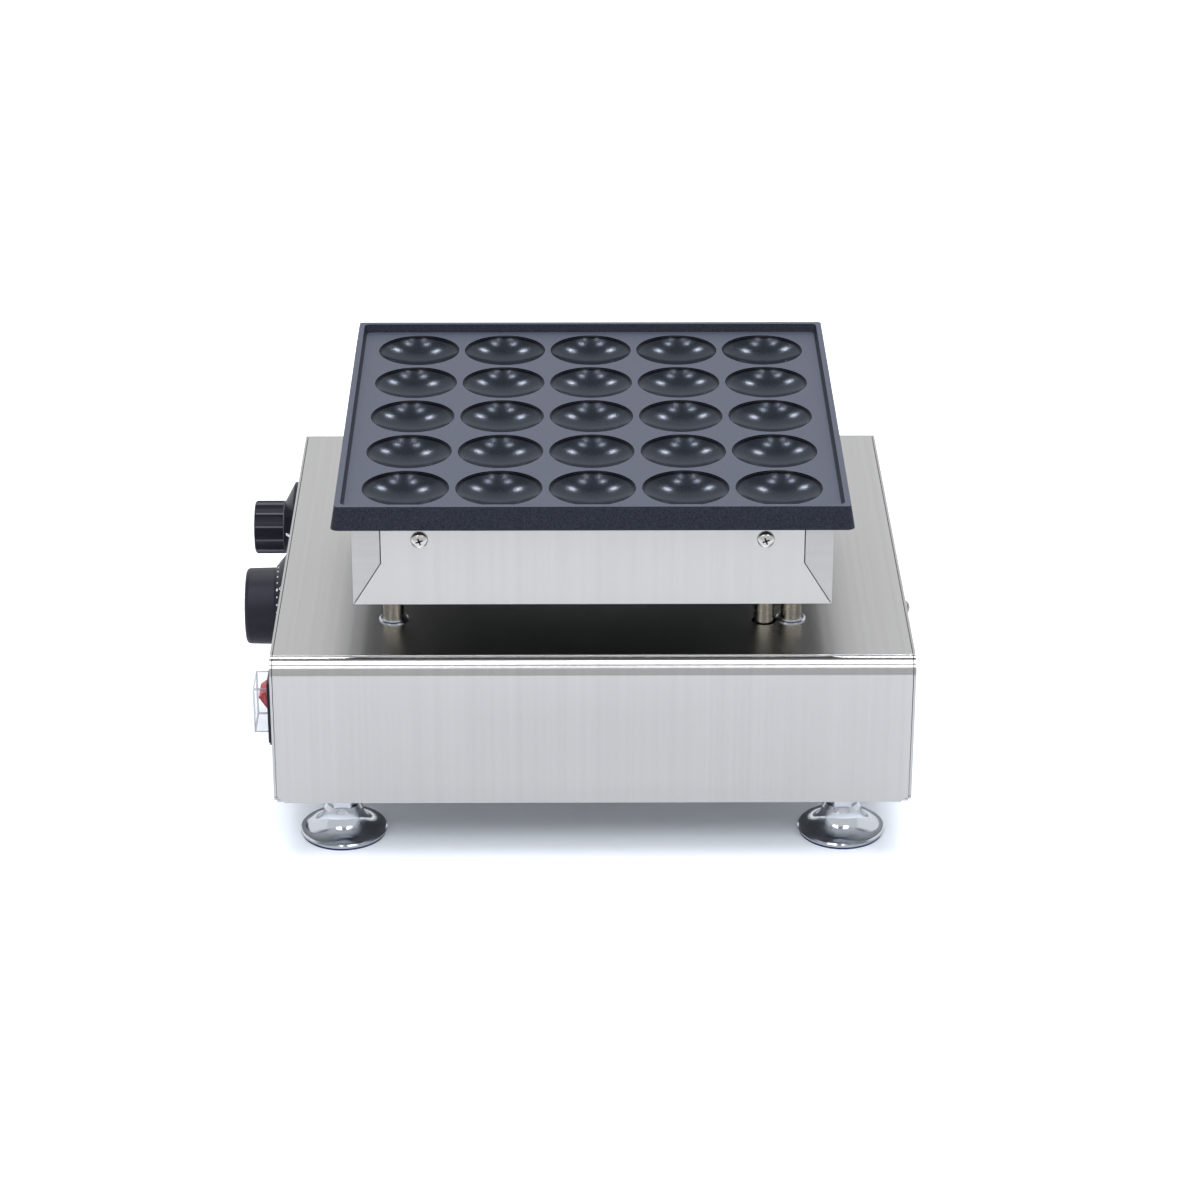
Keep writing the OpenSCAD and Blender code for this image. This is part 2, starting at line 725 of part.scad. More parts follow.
// One run under each row of moulds, joined by half rings at alternate ends
module heating_element() {
    rows = [for (i = [0 : mould_rows - 1]) grid_y + (i - (mould_rows - 1) / 2) * mould_pitch];
    color("dimgray") placed() translate([0, 0, element_z]) union() {
        for (i = [0 : mould_rows - 1]) translate([-run_l / 2, rows[i], 0]) rotate([0, 90, 0])
            cylinder(d = element_d, h = run_l);
        for (i = [0 : mould_rows - 2]) translate([(i % 2 == 0 ? -1 : 1) * run_l / 2, rows[i] + bend_l, 0])
            rotate([0, 0, i % 2 == 0 ? 90 : -90]) rotate_extrude(angle = 180) translate([bend_l, 0])
                circle(d = element_d);
        cold_turn(1, rows[0]);
        cold_turn(mould_rows % 2 == 0 ? 1 : -1, rows[mould_rows - 1]);
    }
}

// The end of the element turns down and carries its terminal
module cold_turn(side, y) {
    r = element_d;
    translate([side * run_l / 2, y, -r]) rotate([90, 0, 0]) rotate([0, 0, side > 0 ? 0 : 90])
        rotate_extrude(angle = 90) translate([r, 0]) circle(d = element_d);
    translate([side * (run_l / 2 + r), y, -r - cold_end]) cylinder(d = element_d, h = cold_end);
    translate([side * (run_l / 2 + r), y, -r - cold_end - 5]) cylinder(d = 3, h = 6);
}

// Strips that press the element against the bowls, screwed to bosses under the web
module element_clamps() {
    color(ZINC) placed() for (side = [-1, 1], gap = [0 : mould_rows - 2])
        translate([side * clamp_x, grid_y + (gap - (mould_rows - 2) / 2) * mould_pitch, clamp_z]) {
            difference() {
                translate([-clamp_w / 2, -mould_pitch / 2 - 4, 0]) cube([clamp_w, mould_pitch - 2 + 8, clamp_t]);
                translate([0, 0, -1]) cylinder(d = 4 + 2 * fit_gap, h = clamp_t + 2);
            }
            mirror([0, 0, 1]) pan_screw(7, 2, 4, clamp_t + 6);
        }
}

module thermostat_bulb() {
    color("peru") placed() translate([-bulb_l / 2, bulb_y, bulb_z]) rotate([0, 90, 0]) union() {
        cylinder(d = bulb_d, h = bulb_l);
        sphere(d = bulb_d);
        translate([0, 0, bulb_l]) sphere(d = bulb_d);
    }
}

// A route with its corners cut off, and the frame that is carried along it
function unit(v) = v / norm(v);
function cut_corners(p) = concat([p[0]],
    [for (i = [0 : len(p) - 2], s = [0.25, 0.75]) p[i] + s * (p[i + 1] - p[i])],
    [p[len(p) - 1]]);
function tangents(p) = [for (i = [0 : len(p) - 1]) unit(p[min(i + 1, len(p) - 1)] - p[max(i - 1, 0)])];
function square_to(n, t) = unit(n - (n * t) * t);
function carried(t, n, i = 0) = i == len(t) - 1 ? [n] : concat([n], carried(t, square_to(n, t[i + 1]), i + 1));

// Thin tube or wire along a row of points
module swept_tube(points, d, sides = 8) {
    t = tangents(points);
    n = carried(t, square_to(abs(t[0][2]) < 0.9 ? [0, 0, 1] : [1, 0, 0], t[0]));
    last = len(points) - 1;
    polyhedron(
        [for (i = [0 : last], k = [0 : sides - 1])
            points[i] + d / 2 * (cos(k * 360 / sides) * n[i] + sin(k * 360 / sides) * cross(t[i], n[i]))],
        concat(
            [[for (k = [0 : sides - 1]) k]],
            [for (i = [0 : last - 1], k = [0 : sides - 1])
                [i * sides + k, (i + 1) * sides + k, i * sides + (k + 1) % sides]],
            [for (i = [0 : last - 1], k = [0 : sides - 1])
                [i * sides + (k + 1) % sides, (i + 1) * sides + k, (i + 1) * sides + (k + 1) % sides]],
            [[for (k = [sides - 1 : -1 : 0]) last * sides + k]]));
}

// From the bulb over the reflector, down the conduit and through the base to the thermostat
module capillary_tube() {
    over_reflector = conduit_high + 4;
    in_conduit = [conduit_x - 1, conduit_y, 0];
    body_rear = -panel_x + sheet_t + thermo_body[2];
    color("peru") placed() swept_tube(cut_corners(cut_corners([
        [bulb_l / 2 + bulb_d / 2 + 0.1, bulb_y, bulb_z],
        [bulb_l / 2 + 10, bulb_y, bulb_z - 2],
        [bulb_l / 2 + 16, bulb_y - 4, over_reflector],
        in_conduit + [-6, 6, over_reflector],
        in_conduit + [0, 0, conduit_high + 1],
        in_conduit + [0, 0, conduit_high - 6],
        in_conduit + [0, 0, conduit_low + 6],
        in_conduit + [0, 0, conduit_low - 4],
        [conduit_x - 20, -40, base_top - 20],
        [body_rear + 20, thermostat_y - 6, control_z + 6],
        [body_rear + 6, thermostat_y - 6, control_z],
        [body_rear + 0.3, thermostat_y - 6, control_z]])), capillary_d);
}

// Slab whose four sides lean from one rounded outline to another
module drafted_slab(w0, d0, r0, z0, w1, d1, r1, z1) {
    hull() {
        translate([0, 0, z0]) rounded_sheet(w0, d0, r0);
        translate([0, 0, z1 - eps]) rounded_sheet(w1, d1, r1);
    }
}

module rounded_sheet(w, d, r) {
    for (sx = [-1, 1], sy = [-1, 1]) translate([sx * (w / 2 - r), sy * (d / 2 - r), 0])
        cylinder(r = r, h = eps, $fn = HULL_FN);
}

module at_moulds() {
    for (i = [0 : mould_cols - 1], j = [0 : mould_rows - 1])
        translate([(i - (mould_cols - 1) / 2) * mould_pitch, grid_y + (j - (mould_rows - 1) / 2) * mould_pitch, 0])
            children();
}

// The hollow of one mould
module mould_cut() {
    intersection() {
        translate([0, 0, cook_z - mould_depth - 1]) cylinder(d = mould_d, h = mould_depth + 2);
        translate([0, 0, bowl_ball_z]) sphere(r = bowl_r, $fn = 96);
    }
    translate([0, 0, cook_z - mould_lip]) cylinder(d1 = mould_d, d2 = mould_d + 4 * mould_lip, h = 2 * mould_lip);
}

// The round of metal that hangs below the web under one mould
module mould_bump() {
    intersection() {
        translate([0, 0, bowl_ball_z]) sphere(r = bowl_r + bowl_t, $fn = 96);
        translate([0, 0, bowl_low_z - 1]) cylinder(d = mould_pitch + 8, h = web_z - bowl_low_z + 1 + eps);
    }
}

module screw_lug() {
    r = lug_w / 2;
    along_y(lug_t) union() {
        translate([-r, box_screw_z]) square([lug_w, web_z - box_screw_z + eps]);
        translate([0, box_screw_z]) circle(r = r);
    }
}

module grill_plate() {
    inner_w = plate_w - 2 * rim_t;
    inner_d2 = plate_d - 2 * rim_t;
    lug_y = box_d / 2 - 2 * box_t - 0.3 - lug_t / 2;
    color(GRILL) placed() difference() {
        union() {
            difference() {
                translate([0, plate_y, 0]) drafted_slab(plate_w + 2 * skirt_flare, plate_d + 2 * skirt_flare,
                    plate_corner_r + skirt_flare, skirt_z, plate_w, plate_d, plate_corner_r, rim_z);
                translate([0, plate_y, 0]) drafted_slab(inner_w - 2 * rim_draft, inner_d2 - 2 * rim_draft, 2.5,
                    cook_z, inner_w + 2 * rim_draft, inner_d2 + 2 * rim_draft, 3, rim_z + rim_h);
                translate([-box_w / 2 - box_gap, plate_y - box_d / 2 - box_gap, skirt_z - 1])
                    cube([box_w + 2 * box_gap, box_d + 2 * box_gap, skirt_drop + 1]);
            }
            at_moulds() mould_bump();
            for (sx = [-1, 1], sy = [-1, 1]) translate([sx * box_screw_x, plate_y + sy * lug_y, 0]) screw_lug();
            clamp_bosses();
        }
        at_moulds() mould_cut();
        for (sx = [-1, 1], sy = [-1, 1]) translate([sx * box_screw_x, plate_y + sy * lug_y, box_screw_z])
            rotate([90, 0, 0]) cylinder(d = box_screw_d + 2 * fit_gap, h = lug_t + 2, center = true);
        for (side = [-1, 1], gap = [0 : mould_rows - 2])
            translate([side * clamp_x, grid_y + (gap - (mould_rows - 2) / 2) * mould_pitch, clamp_z])
                cylinder(d = 4 + 2 * fit_gap, h = clamp_t + 7);
    }
}

module clamp_bosses() {
    for (side = [-1, 1], gap = [0 : mould_rows - 2])
        translate([side * clamp_x, grid_y + (gap - (mould_rows - 2) / 2) * mould_pitch, clamp_z + clamp_t])
            cylinder(d = clamp_boss_d, h = web_z - clamp_z - clamp_t + eps);
}

// Threaded bush of a control, from its body out through the panel
module bush() {
    translate([0, 0, -sheet_t - 1]) cylinder(d = bush_d, h = bush_out + sheet_t + 1);
}

module shaft_bore(depth) {
    translate([0, 0, -depth]) cylinder(d = shaft_d + 2 * run_gap, h = depth + bush_out + 1);
}

module thermostat_body() {
    color(BODY_GREY) placed() on_control_panel(thermostat_y) difference() {
        union() {
            bush();
            translate([-thermo_body[0] / 2, -thermo_body[1] / 2, -sheet_t - thermo_body[2]]) cube(thermo_body);
            for (side = [-1, 1]) translate([side * 12, 0, -sheet_t - thermo_body[2] - 8])
                cube([6.3, 0.8, 16.1], center = true);
        }
        shaft_bore(18);
    }
}

module timer_body() {
    color(BODY_GREY) placed() on_control_panel(timer_y) difference() {
        union() {
            bush();
            translate([0, 0, -sheet_t - timer_body_l]) cylinder(d = timer_body_d, h = timer_body_l);
            for (side = [-1, 1]) translate([side * 12, 0, -sheet_t - timer_body_l - 4])
                cube([6.3, 0.8, 8.1], center = true);
        }
        shaft_bore(18);
    }
}

// D-shaped shaft, flat upwards, from inside the body to inside the knob's hub
module control_shaft() {
    difference() {
        translate([0, 0, -17]) cylinder(d = shaft_d, h = 17 + shaft_out);
        translate([shaft_d / 2 - 1, -shaft_d, bush_out + 0.5]) cube([shaft_d, 2 * shaft_d, shaft_out]);
    }
}

module thermostat_shaft() { color(ZINC) placed() on_control_panel(thermostat_y) control_shaft(); }
module timer_shaft() { color(ZINC) placed() on_control_panel(timer_y) control_shaft(); }

// Hole in a knob's hub that takes the shaft with its flat
module shaft_socket() {
    difference() {
        translate([0, 0, -1]) cylinder(d = shaft_d + 2 * fit_gap, h = shaft_out + 1.3);
        translate([shaft_d / 2 - 1 + fit_gap, -shaft_d, bush_out + 0.6]) cube([shaft_d, 2 * shaft_d, shaft_out]);
    }
}

module knob_hollow(d, depth) {
    difference() {
        cylinder(d = d, h = depth);
        translate([0, 0, bush_out + 0.6]) cylinder(d = knob_hub_d, h = depth);
    }
}

module timer_knob() {
    r = timer_knob_d / 2;
    skirt_r = timer_skirt_d / 2;
    color(BLACK) placed() on_control_panel(timer_y) difference() {
        rotate_extrude($fn = 96) polygon([[0, panel_gap], [skirt_r, panel_gap], [skirt_r, panel_gap + 0.8],
            [r + 1.2, panel_gap + 6.4], [r, panel_gap + 6.8], [r - 0.3, timer_reach - 2.6],
            [r - 0.7, timer_reach - 1.2], [r - 1.8, timer_reach - 0.5], [r * 0.5, timer_reach - 0.1],
            [0, timer_reach]]);
        knob_hollow(timer_knob_d - 5, timer_reach - 5);
        shaft_socket();
    }
}

module thermostat_knob() {
    r = grip_d / 2;
    skirt_r = grip_skirt_d / 2;
    color(BLACK) placed() on_control_panel(thermostat_y) difference() {
        union() {
            rotate_extrude($fn = 96) polygon([[0, panel_gap], [skirt_r, panel_gap],
                [skirt_r, panel_gap + grip_rim_t - 0.3], [skirt_r - 0.3, panel_gap + grip_rim_t],
                [r + 0.6, cone_top], [0, cone_top]]);
            translate([0, 0, cone_top - 1]) rotate([0, 0, grip_turn]) grip();
        }
        knob_hollow(grip_d - 5, grip_reach - 6);
        shaft_socket();
    }
}

// Grip with shallow flutes that leave sharp ridges between them
module grip() {
    r = grip_d / 2;
    h = grip_reach - cone_top + 1;
    half_turn = 180 / flutes - flute_land / 2;
    flute_r = pow(r * sin(half_turn), 2) / (2 * flute_hollow);
    flute_deep = r * (1 - cos(half_turn)) + flute_hollow;
    difference() {
        union() {
            cylinder(r = r, h = h - 1);
            translate([0, 0, h - 1 - eps]) cylinder(r1 = r, r2 = r - 1, h = 1 + eps);
        }
        for (i = [0 : flutes - 1]) rotate([0, 0, (i + 0.5) * 360 / flutes])
            translate([r + flute_r - flute_deep, 0, 2]) cylinder(r = flute_r, h = h);
    }
}

module panel_nuts() {
    color(ZINC) placed() for (y = [timer_y, thermostat_y]) on_control_panel(y)
        hex_nut(ring_nut_d, bush_d + 2 * fit_gap, ring_nut_h);
}

module switch_body() {
    slot_h = 2 * (rocker_r + slot_gap);
    slot_w = rocker_w + 2 * slot_gap;
    color(BLACK) placed() on_control_panel(switch_y) difference() {
        union() {
            translate([-bezel_h / 2, -bezel_w / 2, 0]) cube([bezel_h, bezel_w, bezel_t - 0.8]);
            translate([-bezel_h / 2 + 0.8, -bezel_w / 2 + 0.8, 0]) cube([bezel_h - 1.6, bezel_w - 1.6, bezel_t]);
            translate([-switch_hole_h / 2 + 0.2, -switch_hole_w / 2 + 0.2, -switch_depth])
                cube([switch_hole_h - 0.4, switch_hole_w - 0.4, switch_depth + 1]);
            for (x = [-8, 0, 8]) translate([x, 0, -switch_depth - 4]) cube([6.3, 0.8, 8.1], center = true);
        }
        translate([-slot_h / 2, -slot_w / 2, bezel_t - rocker_pivot - rocker_r - slot_gap])
            cube([slot_h, slot_w, rocker_r + rocker_pivot + 2]);
        translate([0, 0, bezel_t - rocker_pivot]) rotate([90, 0, 0])
            cylinder(d = trunnion_d + 2 * run_gap, h = slot_w + 2 * (trunnion_l + 0.2), center = true);
    }
}

// Rocker with two flats that meet in a shallow valley, tipped so that its upper half stands out
module switch_rocker() {
    over = rocker_half + 3;
    crest = rocker_pivot + rocker_valley + (rocker_rise - rocker_valley) * over / rocker_half;
    color("red") placed() on_control_panel(switch_y) translate([0, 0, bezel_t - rocker_pivot])
        rotate([0, -rocker_swing / 2, 0]) union() {
            intersection() {
                rotate([90, 0, 0]) cylinder(r = rocker_r, h = rocker_w, center = true);
                rotate([90, 0, 0]) linear_extrude(height = rocker_w, center = true)
                    polygon([[-over, -6], [over, -6], [over, crest], [0, rocker_pivot + rocker_valley], [-over, crest]]);
            }
            rotate([90, 0, 0]) cylinder(d = trunnion_d, h = rocker_w + 2 * (slot_gap + trunnion_l), center = true);
        }
}

module switch_cover() {
    color([0.9, 0.92, 0.95, 0.4]) placed() on_control_panel(switch_y) translate([0, 0, bezel_t]) difference() {
        translate([-cover_h / 2, -cover_w / 2, 0]) cube([cover_h, cover_w, cover_reach]);
        translate([-cover_h / 2 + cover_t, -cover_w / 2 + cover_t, -1])
            cube([cover_h - 2 * cover_t, cover_w - 2 * cover_t, cover_reach - cover_t + 1]);
    }
}

// Gland: thread through the rear wall, hexagon outside, and a dome nut that grips a cable
module cable_gland() {
    dome_l = gland_reach - gland_hex_h;
    color(BODY_GREY) placed() translate([gland_x, base_d / 2, gland_z]) rotate([-90, 0, 0]) difference() {
        union() {
            translate([0, 0, -gland_in]) cylinder(d = gland_d, h = gland_in + 1);
            cylinder(d = gland_hex_d, h = gland_hex_h, $fn = 6);
            translate([0, 0, gland_hex_h - eps]) cylinder(d = gland_d + 3, h = dome_l * 0.6);
            translate([0, 0, gland_hex_h + dome_l * 0.6 - 2 * eps])
                cylinder(d1 = gland_d + 3, d2 = gland_d - 4, h = dome_l * 0.4 + 2 * eps);
        }
        translate([0, 0, -gland_in - 1]) cylinder(d = gland_bore_d, h = gland_in + gland_reach + 2);
    }
}

module cable_gland_nut() {
    color(BODY_GREY) placed() translate([gland_x, base_d / 2 - sheet_t - nut_h, gland_z]) rotate([-90, 0, 0])
        hex_nut(gland_hex_d, gland_d + 2 * fit_gap, nut_h);
}

module terminal_block() {
    color("ivory") placed() translate([gland_x + block_inset, base_d / 2 - block_inset, base_z + sheet_t]) difference() {
        translate([-block_size[0] / 2, -block_size[1] / 2, 0]) cube(block_size);
        for (i = [-1, 0, 1]) {
            translate([i * 14, 0, 10]) rotate([90, 0, 0]) cylinder(d = 5, h = block_size[1] + 2, center = true);
            translate([i * 14, 5, 10]) cylinder(d = 4.4, h = 12);
        }
    }
}

housing_wrap();
control_panel();
side_panel();
side_panel_screw();
bottom_cover();
bottom_cover_screws();
foot_nuts();
foot_bell_front_left();
foot_bell_front_right();
foot_bell_rear_left();
foot_bell_rear_right();
foot_stud_front_left();
foot_stud_front_right();
foot_stud_rear_left();
foot_stud_rear_right();
foot_pad_front_left();
foot_pad_front_right();
foot_pad_rear_left();
foot_pad_rear_right();
post_front_left();
post_front_right();
post_rear_left();
post_rear_right();
post_washers();
post_bolts();
post_nuts();
wire_conduit();
heater_pan();
heater_side_left();
heater_side_right();
heater_screws();
insulation_board();
heat_reflector();
heating_element();
element_clamps();
thermostat_bulb();
capillary_tube();
grill_plate();
thermostat_body();
thermostat_shaft();
thermostat_knob();
timer_body();
timer_shaft();
timer_knob();
panel_nuts();
switch_body();
switch_rocker();
switch_cover();
cable_gland();
cable_gland_nut();
terminal_block();
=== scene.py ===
# %% [markdown]
# # A countertop pancake grill, dressed for the camera
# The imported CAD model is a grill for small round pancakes: a dark cast plate with 25 moulds sits on a
# folded heater box, four posts hold the box over a brushed steel housing, and two knobs and a rocker switch
# stick out of the left side. The CAD gives every shape its true size. This file adds what a photograph
# shows beyond the shapes: light, brushed and plated metal, print on the dials, and the small pieces that a
# maker would buy in.

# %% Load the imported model
import json
import math

import bpy
from mathutils import Matrix, Vector


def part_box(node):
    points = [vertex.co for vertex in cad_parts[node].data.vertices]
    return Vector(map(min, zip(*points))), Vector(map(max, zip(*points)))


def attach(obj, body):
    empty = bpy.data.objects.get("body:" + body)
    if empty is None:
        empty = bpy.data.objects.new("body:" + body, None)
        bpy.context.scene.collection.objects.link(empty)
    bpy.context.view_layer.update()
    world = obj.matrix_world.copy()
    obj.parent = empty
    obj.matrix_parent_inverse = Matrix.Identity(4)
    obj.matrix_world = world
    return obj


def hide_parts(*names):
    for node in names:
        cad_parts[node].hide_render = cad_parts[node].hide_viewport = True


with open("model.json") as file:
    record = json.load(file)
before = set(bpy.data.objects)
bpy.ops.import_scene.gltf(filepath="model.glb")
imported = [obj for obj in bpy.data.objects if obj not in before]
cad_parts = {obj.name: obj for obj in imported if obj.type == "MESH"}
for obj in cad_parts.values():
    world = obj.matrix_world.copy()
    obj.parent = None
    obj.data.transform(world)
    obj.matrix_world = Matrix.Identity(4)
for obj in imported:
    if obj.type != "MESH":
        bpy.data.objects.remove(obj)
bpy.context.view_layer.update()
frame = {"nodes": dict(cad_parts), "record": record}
node = frame["nodes"]
MM = 0.001

# %% [markdown]
# ## The camera
# The photograph was taken from about two metres away with a long lens, 25 degrees above the table and
# almost square to the front. The numbers come from fitting the edges and the 25 mould centres of the CAD
# model to the picture, so nothing here is set by eye: place, three angles and the focal length.

# %% Set the camera
CAMERA_PLACE = (0.003301, -1.873212, 0.966480)
LOOK_DOWN, TURN_LEFT, ROLL = 0.444023, -0.0075042, 0.0013013
FOCAL_LENGTH, SENSOR_WIDTH = 110.516, 36
scene = bpy.context.scene
camera_data = bpy.data.cameras.new("camera")
camera_data.sensor_width = SENSOR_WIDTH
camera_data.lens = FOCAL_LENGTH
camera = bpy.data.objects.new("camera", camera_data)
scene.collection.objects.link(camera)
camera.matrix_world = (Matrix.Translation(CAMERA_PLACE) @ Matrix.Rotation(TURN_LEFT, 4, "Z")
                       @ Matrix.Rotation(math.pi / 2 - LOOK_DOWN, 4, "X") @ Matrix.Rotation(ROLL, 4, "Z"))
scene.camera = camera
print("camera tilts down", round(math.degrees(LOOK_DOWN), 1), "degrees")

# %% [markdown]
# ## Wiring shader trees
# A finish is a small machine of nodes: coordinates go in, math nodes turn them into a number between 0 and
# 1, and that number picks a colour or a roughness. In the editor each node is placed and wired by hand. In
# code a few helpers do the wiring, so that the later cells read as what the finish is and not as a list of
# links.

# %% Helpers for numbers and directions


def feed(tree, socket, term):
    """Wires the output of a node into a socket, or sets a plain value on it."""
    if isinstance(term, bpy.types.NodeSocket):
        tree.links.new(term, socket)
    else:
        socket.default_value = term


def number(tree, operation, *terms):
    """One math node on plain numbers and the outputs of other nodes."""
    step = tree.nodes.new("ShaderNodeMath")
    step.operation = operation
    for socket, term in zip(step.inputs, terms):
        feed(tree, socket, term)
    return step.outputs[0]


def vector(tree, operation, *terms):
    """One vector math node; a length and a dot product come out as a number."""
    step = tree.nodes.new("ShaderNodeVectorMath")
    step.operation = operation
    for socket, term in zip(step.inputs, terms):
        feed(tree, socket, term)
    return step.outputs["Value" if operation in ("LENGTH", "DOT_PRODUCT") else "Vector"]


def remap(tree, value, low, high, start=0.3, end=0.7, ease="LINEAR"):
    """Stretches a value to run from low to high while it goes from start to end, as most of a noise does."""
    step = tree.nodes.new("ShaderNodeMapRange")
    step.interpolation_type = ease
    for name, amount in (("From Min", start), ("From Max", end), ("To Min", low), ("To Max", high)):
        step.inputs[name].default_value = amount
    tree.links.new(value, step.inputs["Value"])
    return step.outputs["Result"]


def axes_of(tree, way):
    """X, Y and Z of a coordinate: Object is a place on the piece, Normal is the way its surface faces."""
    place = tree.nodes.new("ShaderNodeTexCoord")
    axes = tree.nodes.new("ShaderNodeSeparateXYZ")
    tree.links.new(place.outputs[way], axes.inputs[0])
    return axes.outputs


print("helpers for numbers: feed, number, vector, remap, axes_of")

# %% Helpers for blends


def blend(tree, kind, factor, first, second):
    """A colour (kind RGBA) or a direction (kind VECTOR): first where factor is 0, second where it is 1."""
    mix = tree.nodes.new("ShaderNodeMix")
    mix.data_type = kind
    for name, term in (("Factor", factor), ("A", first), ("B", second)):
        feed(tree, mix.inputs[name], term)
    return mix.outputs["Result"]


def blend_shaders(tree, factor, first, second):
    """A shader that is first where factor is 0 and second where it is 1."""
    mix = tree.nodes.new("ShaderNodeMixShader")
    for socket, term in zip(mix.inputs, (factor, first, second)):
        tree.links.new(term, socket)
    return mix.outputs[0]


def glowing(tree, kind, colour, strength):
    """A light-giving shader: Background for the world, Emission for a surface."""
    light = tree.nodes.new("ShaderNode" + kind)
    light.inputs["Color"].default_value = (*colour, 1)
    feed(tree, light.inputs["Strength"], strength)
    return light.outputs[0]


def show(tree, kind, shader):
    """Ends a tree in its output: World or Material."""
    end = tree.nodes.new("ShaderNodeOutput" + kind)
    tree.links.new(shader, end.inputs["Surface"])


print("helpers for blends: blend, blend_shaders, glowing, show")

# %% [markdown]
# ## The world
# The photographer's backdrop is pure white. A plain white world would also flood the grill with light from
# all sides, so it is split by the kind of ray: white to the camera, to mirrors and through glass, and a
# weak pale grey to all other light. Mirrors see that white a little dimmed, more so high up and behind the
# camera, as in a room whose ceiling and near end are darker than the lit backdrop. Without it the steel has
# nothing to reflect and looks like paper.

# %% Make the world
FILL_TINT, FILL_STRENGTH = (0.86, 0.90, 1.0), 0.20
LOW_DIMMING, CEILING_DIMMING, NEAR_DIMMING = 0.11, 0.78, 0.30
CEILING_FROM, CEILING_TO = 0.58, 0.74
NEAR_FROM, NEAR_TO = 0.25, -0.25
scene.view_settings.view_transform = "Standard"
world = bpy.data.worlds.new("studio")
scene.world = world
world.use_nodes = True
tree = world.node_tree
tree.nodes.clear()
ray = tree.nodes.new("ShaderNodeLightPath").outputs
camera_or_mirror = number(tree, "MAXIMUM", ray["Is Camera Ray"], ray["Is Glossy Ray"])
seen_directly = number(tree, "MAXIMUM", camera_or_mirror, ray["Is Transmission Ray"])
way = axes_of(tree, "Generated")
ceiling = remap(tree, way["Z"], LOW_DIMMING, CEILING_DIMMING, CEILING_FROM, CEILING_TO, "SMOOTHSTEP")
near_end = remap(tree, way["Y"], 0, NEAR_DIMMING, NEAR_FROM, NEAR_TO, "SMOOTHSTEP")
dimming = number(tree, "MULTIPLY", number(tree, "MAXIMUM", ceiling, near_end), ray["Is Glossy Ray"])
fill = glowing(tree, "Background", FILL_TINT, FILL_STRENGTH)
backdrop = glowing(tree, "Background", (1, 1, 1), number(tree, "SUBTRACT", 1, dimming))
show(tree, "World", blend_shaders(tree, seen_directly, fill, backdrop))
print("world nodes:", len(tree.nodes))

# %% [markdown]
# ## The table
# The table melts into the backdrop and still carries a shadow. It is one large sheet, and its shader adds
# up three things. A matte tone takes light and shadow. A glow for the camera lifts the lit parts to white
# and fades out under the grill, so that the shadow under the feet stays a soft grey. In mirrors the tone is
# less blue, the glow is weak, and the sheet ends in a duller floor some way in front of the grill, which is
# what the lower part of the steel front reflects.

# %% Lay the table
MATTE_TONE, TONE_IN_MIRRORS = (0.75, 0.785, 0.85, 1), (0.77, 0.78, 0.80, 1)
GLOW_TINT, GLOW_UNDER, GLOW_AROUND, GLOW_IN_MIRRORS = (0.88, 0.94, 1.0), 0.12, 0.62, 0.10
FADE_FROM, FADE_TO = -0.05, 0.03
SHEET_FRONT, SHEET_FADE, FLOOR_TONE = 0.40, 0.03, (0.655, 0.66, 0.675)
wrap_low, wrap_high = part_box("housing_wrap")
wrap_middle, wrap_half = (wrap_low + wrap_high) / 2, (wrap_high - wrap_low) / 2
bpy.ops.object.select_all(action="DESELECT")
bpy.ops.mesh.primitive_plane_add(size=12, location=(0, 0, 0))
table = bpy.context.object
table.name = "table"
table_finish = bpy.data.materials.new("table_white")
table_finish.use_nodes = True
table.data.materials.append(table_finish)
tree = table_finish.node_tree
tree.nodes.clear()
ray = tree.nodes.new("ShaderNodeLightPath").outputs
at = axes_of(tree, "Object")
matte = tree.nodes.new("ShaderNodeBsdfDiffuse")
tree.links.new(blend(tree, "RGBA", ray["Is Glossy Ray"], MATTE_TONE, TONE_IN_MIRRORS), matte.inputs["Color"])
off_x = number(tree, "ABSOLUTE", number(tree, "SUBTRACT", at["X"], wrap_middle.x))
off_y = number(tree, "ABSOLUTE", number(tree, "SUBTRACT", at["Y"], wrap_middle.y))
beyond = number(tree, "MAXIMUM", number(tree, "SUBTRACT", off_x, wrap_half.x),
                number(tree, "SUBTRACT", off_y, wrap_half.y))
around = remap(tree, beyond, GLOW_UNDER, GLOW_AROUND, FADE_FROM, FADE_TO, "SMOOTHSTEP")
seen = number(tree, "MAXIMUM", ray["Is Camera Ray"],
              number(tree, "MULTIPLY", ray["Is Glossy Ray"], GLOW_IN_MIRRORS))
glow = glowing(tree, "Emission", GLOW_TINT, number(tree, "MULTIPLY", seen, around))
lit_sheet = tree.nodes.new("ShaderNodeAddShader")
tree.links.new(matte.outputs[0], lit_sheet.inputs[0])
tree.links.new(glow, lit_sheet.inputs[1])
sheet_end = wrap_low.y - SHEET_FRONT
past_end = remap(tree, at["Y"], 0, 1, sheet_end + SHEET_FADE, sheet_end - SHEET_FADE, "SMOOTHSTEP")
floor = glowing(tree, "Emission", FLOOR_TONE, 1)
show(tree, "Material", blend_shaders(tree, number(tree, "MULTIPLY", past_end, ray["Is Glossy Ray"]),
                                     lit_sheet.outputs[0], floor))
print("table:", table.name, "nodes:", len(tree.nodes))

# %% [markdown]
# ## Lamps
# The light can be read from the reflections. Every domed mould shows three pairs of small bright spots,
# which are three pairs of lamps behind the grill. The spots lie at the same place in all 25 moulds, so the
# lamps hang far away. Two pairs of soft boxes in front give the steel its broad soft sheen. Three more
# kinds only fill the shadows: mirrors don't see them, because the photograph shows no reflection of theirs.
# Each lamp is a rectangle that points at the grill.

# %% Hang the lamps
AIM = Vector((0, 0, 0.12))
FAR_OFF = 14


